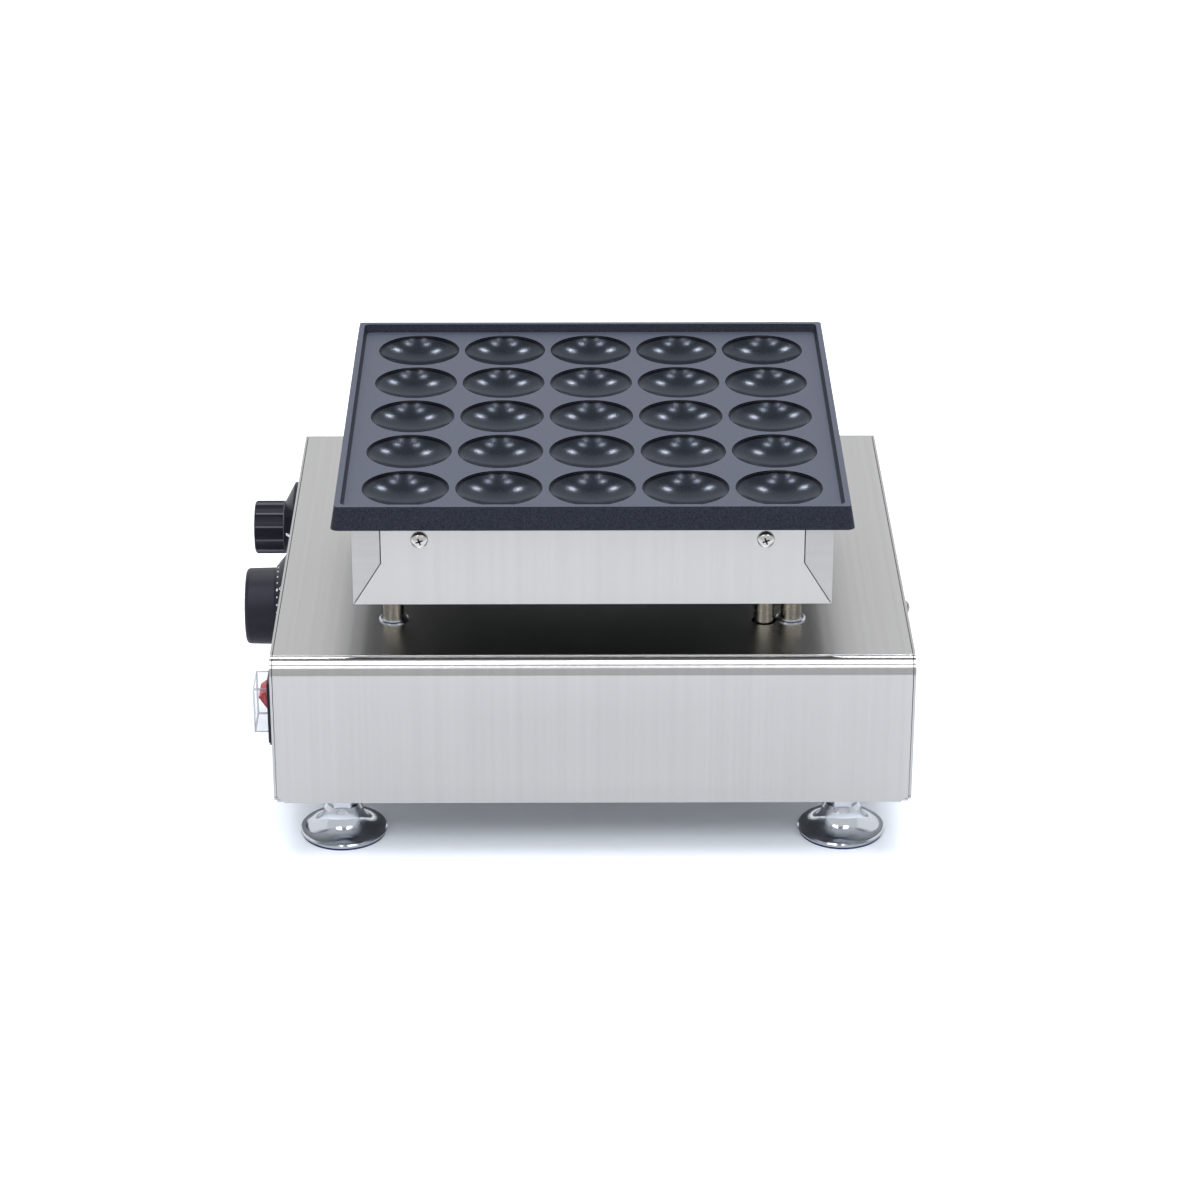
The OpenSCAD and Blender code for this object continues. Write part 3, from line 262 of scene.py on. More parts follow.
def soft_box(name, azimuth, elevation, distance, width, height, power):
    """A rectangular lamp; azimuth 0 is in front of the grill and 90 to its right, in degrees."""
    side, up = math.radians(azimuth), math.radians(elevation)
    way = Vector((math.sin(side) * math.cos(up), -math.cos(side) * math.cos(up), math.sin(up)))
    lamp = bpy.data.lights.new(name, "AREA")
    lamp.shape = "RECTANGLE"
    lamp.size, lamp.size_y = width, height
    lamp.energy = power
    holder = bpy.data.objects.new(name, lamp)
    holder.location = AIM + way * distance
    holder.rotation_euler = way.to_track_quat("Z", "Y").to_euler()
    scene.collection.objects.link(holder)
    return holder


fills = [soft_box("overhead", 0, 88, distance=1.9, width=1.4, height=0.5, power=8),
         soft_box("rear_fill", 180, 38, distance=2.2, width=1.6, height=0.8, power=12)]
for side in (-1, 1):
    fills.append(soft_box("side_fill", side * 70, 35, distance=2.2, width=1.2, height=1.2, power=8))
    soft_box("front_high", side * 27, 69, distance=2.1, width=0.75, height=1.0, power=9)
    soft_box("front_low", side * 27, 40, distance=2.3, width=0.80, height=0.62, power=8)
    soft_box("rear_low", 180 + side * 19.0, 41.5, FAR_OFF, width=1.00, height=1.15, power=150)
    soft_box("rear_middle", 180 + side * 17.6, 61.3, FAR_OFF, width=0.88, height=0.70, power=98)
    soft_box("rear_high", 180 + side * 16.9, 69.9, FAR_OFF, width=0.60, height=0.60, power=41)
for lamp in fills:
    lamp.visible_glossy = False

# %% [markdown]
# ## Patterns for the finishes
# No real surface has one flat value. Each finish starts from a principled shader, and a noise on Object
# coordinates then moves its colour, its roughness or its relief a little. Object coordinates stay with the
# piece when it moves, so the pattern never slides, and a stretch on one axis turns the same noise into a
# grain.

# %% Start a finish
FINE_DETAIL_SHARE = 0.55


def new_finish(name, colour, metallic, roughness):
    """A material with one principled shader: the material, its tree and the shader."""
    finish = bpy.data.materials.new(name)
    finish.use_nodes = True
    shader = finish.node_tree.nodes["Principled BSDF"]
    shader.inputs["Base Color"].default_value = (*colour, 1)
    shader.inputs["Metallic"].default_value = metallic
    shader.inputs["Roughness"].default_value = roughness
    return finish, finish.node_tree, shader


def object_noise(tree, scale, detail, stretch=(1, 1, 1)):
    """Noise on Object coordinates; a low stretch on an axis draws the pattern out along it."""
    place = tree.nodes.new("ShaderNodeTexCoord")
    mapping = tree.nodes.new("ShaderNodeMapping")
    mapping.inputs["Scale"].default_value = stretch
    noise = tree.nodes.new("ShaderNodeTexNoise")
    noise.inputs["Scale"].default_value = scale
    noise.inputs["Detail"].default_value = detail
    noise.inputs["Roughness"].default_value = FINE_DETAIL_SHARE
    tree.links.new(place.outputs["Object"], mapping.inputs["Vector"])
    tree.links.new(mapping.outputs[0], noise.inputs["Vector"])
    return noise.outputs["Fac"]


def colour_between(tree, value, dark, light):
    """A colour from dark to light, driven by a value of 0 to 1."""
    ramp = tree.nodes.new("ShaderNodeValToRGB")
    ramp.color_ramp.elements[0].color = (*dark, 1)
    ramp.color_ramp.elements[1].color = (*light, 1)
    tree.links.new(value, ramp.inputs["Fac"])
    return ramp.outputs["Color"]


def add_bump(tree, shader, value, height):
    """A relief of that height in metres."""
    bump = tree.nodes.new("ShaderNodeBump")
    bump.inputs["Strength"].default_value = 1
    bump.inputs["Distance"].default_value = height
    tree.links.new(value, bump.inputs["Height"])
    tree.links.new(bump.outputs["Normal"], shader.inputs["Normal"])
    return bump


print("helpers for finishes: new_finish, object_noise, colour_between, add_bump")

# %% [markdown]
# ## The true direction of a fold
# The housing is one sheet bent over its front and rear top edges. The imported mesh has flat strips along
# each fold, and a reflected lamp breaks up on them. Smooth shading would also bend the light on the flat
# sides. The material can do better: from where a point lies it works out the exact way from the axis of the
# fold, and uses that in place of the direction of the mesh wherever the two nearly agree.

# %% Work out the direction on a rounded fold
NEARLY_ALIKE = 0.9


def folded_normal(tree, facing, y_bends, z_bend):
    """The outward direction of a sheet whose folds along X have their axes at two Y and one Z. Where the mesh
    faces elsewhere, as on a cut edge, its own direction stays."""
    at = axes_of(tree, "Object")
    front = number(tree, "MINIMUM", number(tree, "SUBTRACT", at["Y"], y_bends[0]), 0)
    rear = number(tree, "MAXIMUM", number(tree, "SUBTRACT", at["Y"], y_bends[1]), 0)
    up = number(tree, "MAXIMUM", number(tree, "SUBTRACT", at["Z"], z_bend), 0)
    from_fold = tree.nodes.new("ShaderNodeCombineXYZ")
    tree.links.new(number(tree, "ADD", front, rear), from_fold.inputs["Y"])
    tree.links.new(up, from_fold.inputs["Z"])
    exact = vector(tree, "NORMALIZE", from_fold.outputs[0])
    alike = number(tree, "GREATER_THAN", vector(tree, "DOT_PRODUCT", exact, facing), NEARLY_ALIKE)
    return blend(tree, "VECTOR", alike, facing, exact)


print("a fold's direction is used where its cosine with the mesh is over", NEARLY_ALIKE)

# %% [markdown]
# ## Brushed steel
# The housing and the heater box are stainless sheet with a ground finish: thousands of fine straight
# scratches all one way. In a render that is four things together: a colour that varies from streak to
# streak, a roughness and a very small relief that vary from scratch to scratch, and a highlight that is
# drawn out across the grain. All but the last read a noise that is squeezed across the grain and drawn out
# along it. The highlight follows the anisotropy and the tangent of the shader. The box is a little paler
# than the housing, and its two side sheets are ground the other way.

# %% Brushed metals
ACROSS, ALONG = 2600, 14
SCRATCH_DEPTH, HIGHLIGHT_STRETCH, ROUGHNESS_SPREAD = 0.0003 * MM, 0.88, 0.008
SCRATCH_SCALE, STREAK_SCALE = 1, 0.12
BEND_R = 9 * MM
WRAP_DARK, WRAP_LIGHT = (0.523, 0.524, 0.530), (0.553, 0.554, 0.560)
BOX_DARK, BOX_LIGHT = (0.550, 0.547, 0.548), (0.580, 0.577, 0.578)
FLANGE_DARK, FLANGE_LIGHT = (0.482, 0.480, 0.480), (0.510, 0.508, 0.508)
FACES_SIDEWAYS = 0.7


def brushed(name, dark, light, grain, roughness, sheet_axis, bends=None):
    """Ground sheet metal; grain is the stretch of the scratches along X, Y and Z. The highlight is drawn out
    along X, and along sheet_axis where the sheet faces sideways."""
    finish, tree, shader = new_finish(name, light, 1, roughness)
    scratches = object_noise(tree, SCRATCH_SCALE, 3, grain)
    streaks = object_noise(tree, STREAK_SCALE, 2, grain)
    tree.links.new(colour_between(tree, remap(tree, streaks, 0, 1), dark, light), shader.inputs["Base Color"])
    tree.links.new(remap(tree, scratches, roughness - ROUGHNESS_SPREAD, roughness + ROUGHNESS_SPREAD),
                   shader.inputs["Roughness"])
    shader.inputs["Anisotropic"].default_value = HIGHLIGHT_STRETCH
    turned = number(tree, "ABSOLUTE", axes_of(tree, "Normal")["X"])
    sideways = number(tree, "GREATER_THAN", turned, FACES_SIDEWAYS)
    tree.links.new(blend(tree, "VECTOR", sideways, (1, 0, 0), sheet_axis), shader.inputs["Tangent"])
    bump = add_bump(tree, shader, scratches, SCRATCH_DEPTH)
    if bends:
        facing = tree.nodes.new("ShaderNodeTexCoord").outputs["Normal"]
        tree.links.new(folded_normal(tree, facing, *bends), bump.inputs["Normal"])
    return finish


folds = ((wrap_low.y + BEND_R, wrap_high.y - BEND_R), wrap_high.z - BEND_R)
wrap_steel = brushed("wrap_steel", WRAP_DARK, WRAP_LIGHT, (ACROSS, ALONG, ALONG), 0.22, (0, 1, 0), folds)
panel_steel = brushed("panel_steel", WRAP_DARK, WRAP_LIGHT, (ALONG, ACROSS, ALONG), 0.22, (0, 1, 0))
box_steel = brushed("box_steel", BOX_DARK, BOX_LIGHT, (ACROSS, ALONG, ALONG), 0.26, (0, 1, 0))
flange_steel = brushed("flange_steel", FLANGE_DARK, FLANGE_LIGHT, (ALONG, ALONG, ACROSS), 0.30, (0, 0, 1))
print("brushed finishes:", [metal.name for metal in (wrap_steel, panel_steel, box_steel, flange_steel)])

# %% [markdown]
# ## Plated and bright metals
# Small hardware is plated, not brushed. Chrome on the feet is close to a mirror, nickel on the posts is a
# warmer half mirror with a fine haze, zinc on nuts and studs is duller and slightly blotchy, and the screws
# of the box are bright steel. A little noise in the roughness is enough to tell them apart.

# %% Plated metals


def plated(name, colour, roughness, blotch, size=260):
    """Plating with a faint uneven haze."""
    finish, tree, shader = new_finish(name, colour, 1, roughness)
    haze = object_noise(tree, size, 3)
    tree.links.new(remap(tree, haze, roughness - blotch, roughness + blotch), shader.inputs["Roughness"])
    return finish


chrome = plated("chrome", (0.66, 0.70, 0.76), 0.11, 0.03, 90)
nickel = plated("nickel", (0.36, 0.335, 0.28), 0.24, 0.06)
zinc = plated("zinc", (0.60, 0.60, 0.60), 0.30, 0.08)
copper = plated("copper", (0.72, 0.42, 0.28), 0.28, 0.06)
bright_steel = plated("bright_steel", (0.66, 0.655, 0.64), 0.22, 0.05)
reflector_sheet = plated("reflector_sheet", (0.78, 0.78, 0.78), 0.26, 0.08, 120)
element_sheath = plated("element_sheath", (0.24, 0.22, 0.21), 0.42, 0.08, 160)
smooth_metals = (chrome, nickel, zinc, copper, bright_steel, reflector_sheet, element_sheath)
print("plated and bright finishes:", [metal.name for metal in smooth_metals])

# %% [markdown]
# ## The non-stick coating
# The cast plate is sprayed with a dark blue-grey coating that dries to a fine grain, less than a millimetre
# wide. It is not a metal: a dark base under a satin gloss that mirrors a little blue. The level top between
# the moulds looks paler than the slanted skirt because it catches more light, and that light is painted
# in: one noise drives two pairs of colours, the direction and height of the surface choose between the
# pairs, and the paler pair on the top is painted light on the same dark coating.

# %% Coating of the plate
PLATE_LOW, PLATE_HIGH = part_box("grill_plate")
PLATE_MIDDLE = (PLATE_LOW + PLATE_HIGH) / 2
RIM_H, JUST_UNDER = 4.5 * MM, 0.05 * MM
COOKING_TOP = PLATE_HIGH.z - RIM_H - JUST_UNDER
GRAIN_SIZE, GRAIN_HEIGHT, FACES_UP = 1300, 0.003 * MM, 0.8
coating, tree, shader = new_finish("non_stick", (0.030, 0.032, 0.040), 0, 0.42)
shader.inputs["IOR"].default_value = 1.24
shader.inputs["Specular Tint"].default_value = (0.80, 0.88, 1.0, 1)
level = number(tree, "GREATER_THAN", axes_of(tree, "Normal")["Z"], FACES_UP)
high_up = number(tree, "GREATER_THAN", axes_of(tree, "Object")["Z"], COOKING_TOP)
on_top = number(tree, "MULTIPLY", level, high_up)
grain = object_noise(tree, GRAIN_SIZE, 3)
spread = remap(tree, grain, 0, 1)
side_colour = colour_between(tree, spread, (0.011, 0.013, 0.020), (0.037, 0.041, 0.055))
# painted light: the level top of the same coating gets a paler pair of colours than the skirt
top_colour_with_painted_light = colour_between(tree, spread, (0.062, 0.070, 0.099), (0.086, 0.095, 0.130))
tree.links.new(blend(tree, "RGBA", on_top, side_colour, top_colour_with_painted_light), shader.inputs["Base Color"])
add_bump(tree, shader, grain, GRAIN_HEIGHT)
print("cooking top at z", round(COOKING_TOP, 4))

# %% [markdown]
# ## The bowls of the moulds
# Inside the moulds the same coating looks smoother: each lamp shows there as a small bright spot with a
# soft rim. A dark dielectric alone gives spots that are too weak, and a full metal gives bowls that are too
# blue, so this finish lies between the two. The steep wall under the lip is nearly black in the photograph.
# That wall lies in shade, and the shade is painted: a ring just inside the lip gets a nearly black colour.
# The ring is found from the distance to the nearest mould's middle: the coordinates are wrapped into one
# cell of the 5 by 5 grid, whose middle lies 1 mm behind that of the plate.

# %% Coating in the moulds
MOULD_PITCH, LIP_R = 49 * MM, 22.5 * MM
GRID_SHIFT = 1 * MM
LIP_FROM, LIP_TO = LIP_R - 1.5 * MM, LIP_R - 0.6 * MM
mould_coating, tree, shader = new_finish("mould_coating", (0.024, 0.028, 0.038), 0.45, 0.17)
shader.inputs["IOR"].default_value = 1.30
shader.inputs["Specular Tint"].default_value = (0.52, 0.57, 0.66, 1)
at = axes_of(tree, "Object")
from_middle = tree.nodes.new("ShaderNodeCombineXYZ")
for axis, middle in (("X", PLATE_MIDDLE.x), ("Y", PLATE_MIDDLE.y + GRID_SHIFT)):
    off_middle = number(tree, "SUBTRACT", at[axis], middle)
    in_cell = number(tree, "WRAP", off_middle, MOULD_PITCH / 2, -MOULD_PITCH / 2)
    tree.links.new(in_cell, from_middle.inputs[axis])
# painted shade: a nearly black ring on the steep wall under each mould's lip
lip_shade_mask = remap(tree, vector(tree, "LENGTH", from_middle.outputs[0]), 0, 1, LIP_FROM, LIP_TO)
grain = object_noise(tree, GRAIN_SIZE, 3)
spread = remap(tree, grain, 0, 1)
bowl_colour = colour_between(tree, spread, (0.014, 0.017, 0.024), (0.032, 0.037, 0.050))
lip_shade_colour = colour_between(tree, spread, (0.001, 0.001, 0.002), (0.004, 0.004, 0.006))
tree.links.new(blend(tree, "RGBA", lip_shade_mask, bowl_colour, lip_shade_colour), shader.inputs["Base Color"])
add_bump(tree, shader, grain, GRAIN_HEIGHT)
print("dark ring of a mould from radius", round(LIP_FROM, 4))

# %% [markdown]
# ## Plastics, rubber and board
# Moulded parts take their skin from the tool: spark erosion leaves it a grain that scatters light. One
# noise gives that grain to colour, roughness and relief together. Gloss parts such as the red rocker have
# almost no relief, and the pressed insulation board has a coarse one. Inside corners and sheet edges that
# lie in deep shadow get painted shade: a dark dull material of their own.

# %% Moulded finishes
PLASTIC_TINT = (0.80, 0.86, 1.0, 1)
SKIN_SIZE, SKIN_SPREAD, SKIN_SHADE = 1500, 0.05, 0.85


def moulded(name, colour, roughness, relief=0.015 * MM, size=SKIN_SIZE):
    """Injection-moulded plastic or rubber with a fine spark-eroded grain."""
    finish, tree, shader = new_finish(name, colour, 0, roughness)
    skin = object_noise(tree, size, 2)
    tree.links.new(remap(tree, skin, roughness - SKIN_SPREAD, roughness + SKIN_SPREAD),
                   shader.inputs["Roughness"])
    darker = tuple(channel * SKIN_SHADE for channel in colour)
    tree.links.new(colour_between(tree, remap(tree, skin, 0, 1), darker, colour), shader.inputs["Base Color"])
    add_bump(tree, shader, skin, relief)
    return finish


knob_black = moulded("knob_black", (0.023, 0.022, 0.031), 0.40)
knob_shader = knob_black.node_tree.nodes["Principled BSDF"]
knob_shader.inputs["IOR"].default_value = 1.30
knob_shader.inputs["Specular Tint"].default_value = PLASTIC_TINT
gland_black = moulded("gland_black", (0.026, 0.026, 0.028), 0.50)
control_case = moulded("control_case", (0.060, 0.060, 0.062), 0.55)
block_white = moulded("block_white", (0.62, 0.60, 0.55), 0.45)
pad_blue = moulded("pad_blue", (0.012, 0.020, 0.13), 0.60)
ceramic_board = moulded("ceramic_board", (0.66, 0.62, 0.54), 0.90, 0.2 * MM, 400)
rocker_red = moulded("rocker_red", (0.62, 0.020, 0.022), 0.22, 0.004 * MM)
print_white = moulded("print_white", (0.95, 0.97, 1.0), 0.55, 0.004 * MM)
# painted shade: a dark dull material for seams, tabs and recesses that no light reaches
shadowed = moulded("shadowed_steel", (0.020, 0.020, 0.022), 0.60)
print("moulded finishes: 9")

# %% [markdown]
# ## The fluted grip
# The thermostat's grip is black with a row of flutes, and where two flutes meet the rounded ridge catches
# a thin line of light. The flutes are in the CAD. The line of light is a painted highlight: the ridges are
# all the points that lie at the grip's full radius, so the material measures the distance to the knob's
# axis and lightens a hair's breadth of it.

# %% Finish of the grip
RIDGE_R, RIDGE_HALF, SKIRT_REACH = 15.5 * MM, 0.045 * MM, 9.5 * MM
GRIP_COLOUR, RIDGE_HIGHLIGHT_COLOUR = (0.010, 0.010, 0.016), (0.11, 0.11, 0.13)
grip_low, grip_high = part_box("thermostat_knob")
grip_black, tree, shader = new_finish("grip_black", GRIP_COLOUR, 0, 0.34)
shader.inputs["IOR"].default_value = 1.26
shader.inputs["Specular Tint"].default_value = PLASTIC_TINT
place = tree.nodes.new("ShaderNodeTexCoord").outputs["Object"]
off_axis = vector(tree, "MULTIPLY", vector(tree, "SUBTRACT", place, (grip_low + grip_high) / 2), (0, 1, 1))
# painted highlight: a paler colour along the ridges between the flutes
at_ridge = number(tree, "COMPARE", vector(tree, "LENGTH", off_axis), RIDGE_R, RIDGE_HALF)
on_grip = number(tree, "LESS_THAN", axes_of(tree, "Object")["X"], grip_high.x - SKIRT_REACH)
ridge_highlight = number(tree, "MULTIPLY", at_ridge, on_grip)
tree.links.new(colour_between(tree, ridge_highlight, GRIP_COLOUR, RIDGE_HIGHLIGHT_COLOUR), shader.inputs["Base Color"])
add_bump(tree, shader, object_noise(tree, SKIN_SIZE, 2), 0.01 * MM)
print("ridges at radius", round(RIDGE_R, 4))

# %% [markdown]
# ## The clear cover
# A thin clear cap keeps grease off the switch. Real refraction through two thin walls costs much and shows
# little, so the cap is a nearly transparent surface with a low alpha. What the eye reads as clear plastic
# is its edges, where one looks along the wall: they are found as places close to two outer sides at once.

# %% Finish of the clear cover
EDGE_T, EDGE_ALPHA, MORE_THAN_ONE = 0.9 * MM, 0.55, 1.5
THINNEST_ALPHA, CLOUDY_ALPHA = 0.05, 0.09
clear_cover, tree, shader = new_finish("clear_cover", (0.32, 0.32, 0.37), 0, 0.30)
shader.inputs["IOR"].default_value = 1.15
cover_low, cover_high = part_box("switch_cover")
at = axes_of(tree, "Object")
sides = (("X", cover_low.x), ("Y", cover_low.y), ("Y", cover_high.y), ("Z", cover_low.z), ("Z", cover_high.z))
sides_near = 0
for axis, end in sides:
    sides_near = number(tree, "ADD", sides_near, number(tree, "COMPARE", at[axis], end, EDGE_T))
at_edge = number(tree, "GREATER_THAN", sides_near, MORE_THAN_ONE)
cloudy = remap(tree, object_noise(tree, 90, 2), THINNEST_ALPHA, CLOUDY_ALPHA)
tree.links.new(number(tree, "MULTIPLY_ADD", at_edge, EDGE_ALPHA, cloudy), shader.inputs["Alpha"])
print("clear cover with", len(sides), "sides")

# %% [markdown]
# ## Give each CAD node its finish
# The record names a slot for every node, and each slot has one finish here. The glTF import gives each node
# one plain material slot, so its material is simply exchanged. Some nodes need a second look on a part of
# their surface. Their meshes stay as they are: the faces are picked by place and direction, and only the
# number of the material changes on them.

# %% Assign the finishes
finish_of_slot = {
    "base_steel": wrap_steel, "box_steel": box_steel, "chrome": chrome, "nickel": nickel, "zinc": zinc,
    "non_stick": coating, "knob_black": knob_black, "rocker_red": rocker_red, "clear_cover": clear_cover,
    "pad_blue": pad_blue, "ceramic_board": ceramic_board, "reflector": reflector_sheet,
    "element_sheath": element_sheath, "copper": copper, "control_case": control_case,
    "gland_black": gland_black, "block_white": block_white,
}
for part in frame["record"]["subparts"]:
    mesh = node[part["node"]].data
    mesh.materials.clear()
    mesh.materials.append(finish_of_slot[part["material_slot"]])
own_finish = {"control_panel": panel_steel, "side_panel": panel_steel, "heater_side_left": flange_steel,
              "heater_side_right": flange_steel, "thermostat_knob": grip_black}
for name, finish in own_finish.items():
    node[name].data.materials[0] = finish

# %% [markdown]
# ## Second finishes
# Three kinds of place change their look within one node. The flanges of the two side panels lie under the
# wrap, and where they show at the seam they get painted shade, a dark dull material. The bowls of the
# moulds are smoother than the plate's top. The heater pan's tabs behind the mitred corners are in deep
# shadow and get the same painted shade.

# %% Pick the faces for a second finish
SEAM_FROM, TAB_FROM = 1.3 * MM, 0.9 * MM
INSIDE_RIM_X, INSIDE_RIM_Y, MOULD_DEPTH = 129 * MM, 127 * MM, 7 * MM
NOT_SIDEWAYS, A_LITTLE_UP, SQUARE_ON = 0.5, 0.02, 0.9
pan_low, pan_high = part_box("heater_pan")


def second_finish(piece, finish, picked):
    """Adds a finish to a piece, on the faces that a test picks, and counts them."""
    piece.data.materials.append(finish)
    faces = [face for face in piece.data.polygons if picked(face)]
    for face in faces:
        face.material_index = 1
    return len(faces)


def flange_of(outer):
    """A test for the faces of a panel that lie behind its outer side and don't face sideways."""
    return lambda face: abs(face.normal.x) < NOT_SIDEWAYS and abs(face.center.x - outer) > SEAM_FROM


def in_mould(face):
    """Whether a face of the plate is in a bowl: under the cooking top, within the rim, and facing up."""
    off = face.center - PLATE_MIDDLE
    low_enough = COOKING_TOP - MOULD_DEPTH < face.center.z < COOKING_TOP
    in_rim = abs(off.x) < INSIDE_RIM_X and abs(off.y) < INSIDE_RIM_Y
    return low_enough and in_rim and face.normal.z > A_LITTLE_UP


def inside_pan(face):
    """Whether a face of the pan looks to the front or rear from within it."""
    within = pan_low.y + TAB_FROM < face.center.y < pan_high.y - TAB_FROM
    return within and face.center.z > pan_low.z + SEAM_FROM and abs(face.normal.y) > SQUARE_ON


outer_sides = {"control_panel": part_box("control_panel")[0].x, "side_panel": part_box("side_panel")[1].x}
# painted shade: the hidden flanges of the panels show as a dark seam
for name, outer in outer_sides.items():
    print("flange faces of", name, second_finish(node[name], shadowed, flange_of(outer)))
print("faces of the moulds:", second_finish(node["grill_plate"], mould_coating, in_mould))
# painted shade on the pan's tabs behind the mitred corners
print("faces inside the pan:", second_finish(node["heater_pan"], shadowed, inside_pan))

# %% [markdown]
# ## Print on the timer's skirt
# The round knob winds a five minute timer. A real dial of this kind is moulded black and then pad-printed
# white: a dot for every ten degrees of turn, a bolder dot with a numeral for every minute. The print is a
# film with a thickness, so each dot is a very low disc with a drawn-in top, laid flat on the cone of the
# skirt. One dot is modelled, and copies of it go round the dial.

# %% Where the skirts of the two knobs are
panel_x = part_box("control_panel")[0].x


def knob_axis(name):
    """The middle of a knob on the face of the panel."""
    low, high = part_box(name)
    return Vector((panel_x, (low.y + high.y) / 2, (low.z + high.z) / 2))


def on_cone(axis, turn, radius, rim, top):
    """Where a flat print lies on a cone; turn is in degrees, clockwise from the top as seen from the left.
    rim and top are radius and distance out of the panel at both ends of the cone. The print's top points
    outwards."""
    share = (rim[0] - radius) / (rim[0] - top[0])
    out = rim[1] + share * (top[1] - rim[1])
    spoke = Vector((0, -math.sin(math.radians(turn)), math.cos(math.radians(turn))))
    along = (spoke * (rim[0] - top[0]) + Vector((1, 0, 0)) * (top[1] - rim[1])).normalized()
    right = Vector((0, -spoke.z, spoke.y))
    face = right.cross(along)
    turned = Matrix((right, along, face)).transposed().to_4x4()
    return Matrix.Translation(axis + spoke * radius - Vector((out, 0, 0))) @ turned


TIMER_RIM, TIMER_TOP = (29.5 * MM, 2.0 * MM), (22.7 * MM, 7.6 * MM)
timer_axis = knob_axis("timer_knob")
print("timer axis", [round(value, 4) for value in timer_axis])

# %% Helpers for modelling


def select_only(*pieces):
    """Deselects everything, selects the pieces and makes the first one active."""
    bpy.ops.object.select_all(action="DESELECT")
    for piece in pieces:
        piece.select_set(True)
    bpy.context.view_layer.objects.active = pieces[0]


def face_outwards():
    """Turns all faces of the mesh in edit mode outwards and leaves edit mode."""
    bpy.ops.mesh.select_all(action="SELECT")
    bpy.ops.mesh.normals_make_consistent(inside=False)
    bpy.ops.object.mode_set(mode="OBJECT")


def pull_up(height, across, along):
    """Pulls the flat mesh in edit mode up by a height and draws its top in by two shares."""
    bpy.ops.mesh.select_all(action="SELECT")
    bpy.ops.mesh.extrude_region_move(TRANSFORM_OT_translate={"value": (0, 0, height)})
    bpy.ops.transform.resize(value=(across, along, 1), center_override=(0, 0, height))


def joined(pieces, name, finish, body):
    """One object out of several, with one finish, that moves with a body."""
    select_only(*pieces)
    if len(pieces) > 1:
        bpy.ops.object.join()
    whole = bpy.context.object
    whole.name = name
    whole.data.name = name
    whole.data.materials.clear()
    whole.data.materials.append(finish)
    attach(whole, body)
    return whole


def copy_at(piece, place):
    """A copy with its own mesh, its place in the mesh."""
    twin = bpy.data.objects.new(piece.name, piece.data.copy())
    twin.data.transform(place)
    scene.collection.objects.link(twin)
    return twin


print("helpers for modelling: select_only, face_outwards, pull_up, joined, copy_at")

# %% Dots of the timer
ZERO_TURN, DOT_STEP, DOT_COUNT = 43.7, 10, 36
STEPS_A_MINUTE, MINUTES = 6, 5
DOT_RING, SMALL_DOT_R, BOLD_DOT_R, DOT_H = 24.4 * MM, 0.58 * MM, 0.90 * MM, 0.1 * MM
SUNK_SHARE, TOP_SHARE = 0.4, 0.86


def flat_dot(radius):
    """A round spot of print: a filled circle pulled up and drawn in at its top, and sunk a little."""
    bpy.ops.object.select_all(action="DESELECT")
    bpy.ops.mesh.primitive_circle_add(vertices=20, radius=radius, fill_type="NGON", location=(0, 0, 0))
    dot = bpy.context.object
    bpy.ops.object.mode_set(mode="EDIT")
    pull_up(DOT_H, TOP_SHARE, TOP_SHARE)
    face_outwards()
    dot.data.transform(Matrix.Translation((0, 0, -SUNK_SHARE * DOT_H)))
    return dot


small_dot = flat_dot(SMALL_DOT_R)
bold_dot = flat_dot(BOLD_DOT_R)
dots = []
for step in range(DOT_COUNT):
    whole_minute = step % STEPS_A_MINUTE == 0 and step <= STEPS_A_MINUTE * MINUTES
    start = bold_dot if whole_minute else small_dot
    place = on_cone(timer_axis, ZERO_TURN - DOT_STEP * step, DOT_RING, TIMER_RIM, TIMER_TOP)
    dots.append(copy_at(start, place))
for start in (small_dot, bold_dot):
    bpy.data.objects.remove(start)
timer_dots = joined(dots, "timer_dots", print_white, "timer_dial")
print("dots:", len(dots), "faces:", len(timer_dots.data.polygons))

# %% [markdown]
# ## Numerals of the timer
# Each whole minute has its numeral outside its dot. A text object is the quick way to a numeral: it is
# given a thickness, made a mesh, centred, and only then laid on the cone, so that its place is in the mesh.

# %% Numerals of the timer
NUMERAL_RING, NUMERAL_H, PRINT_T = 27.1 * MM, 4.0 * MM, 0.05 * MM
numerals = []
for minute in range(MINUTES + 1):
    bpy.ops.object.select_all(action="DESELECT")
    bpy.ops.object.text_add(location=(0, 0, 0))
    text = bpy.context.object
    text.data.body = str(minute)
    text.data.size = NUMERAL_H
    text.data.align_x = "CENTER"
    text.data.align_y = "CENTER"
    text.data.extrude = PRINT_T
    text.data.resolution_u = 4
    bpy.ops.object.convert(target="MESH")
    numeral = bpy.context.object
    middle = sum((Vector(corner) for corner in numeral.bound_box), Vector()) / 8
    turn = ZERO_TURN - DOT_STEP * STEPS_A_MINUTE * minute
    place = on_cone(timer_axis, turn, NUMERAL_RING, TIMER_RIM, TIMER_TOP)
    numeral.data.transform(place @ Matrix.Translation(-middle))
    numerals.append(numeral)
timer_numerals = joined(numerals, "timer_numerals", print_white, "timer_dial")
print("numerals:", len(numerals), "faces:", len(timer_numerals.data.polygons))

# %% [markdown]
# ## The mark on the thermostat
# The fluted knob of the thermostat has one painted stroke on its skirt that shows how far it is turned. It
# is a flat bar that follows the slope from beside the grip to the edge of the skirt. A plane is the start:
# its corners are rounded by a bevel, and it is pulled up with its top drawn in a little, as paint in a
# moulded groove would be.

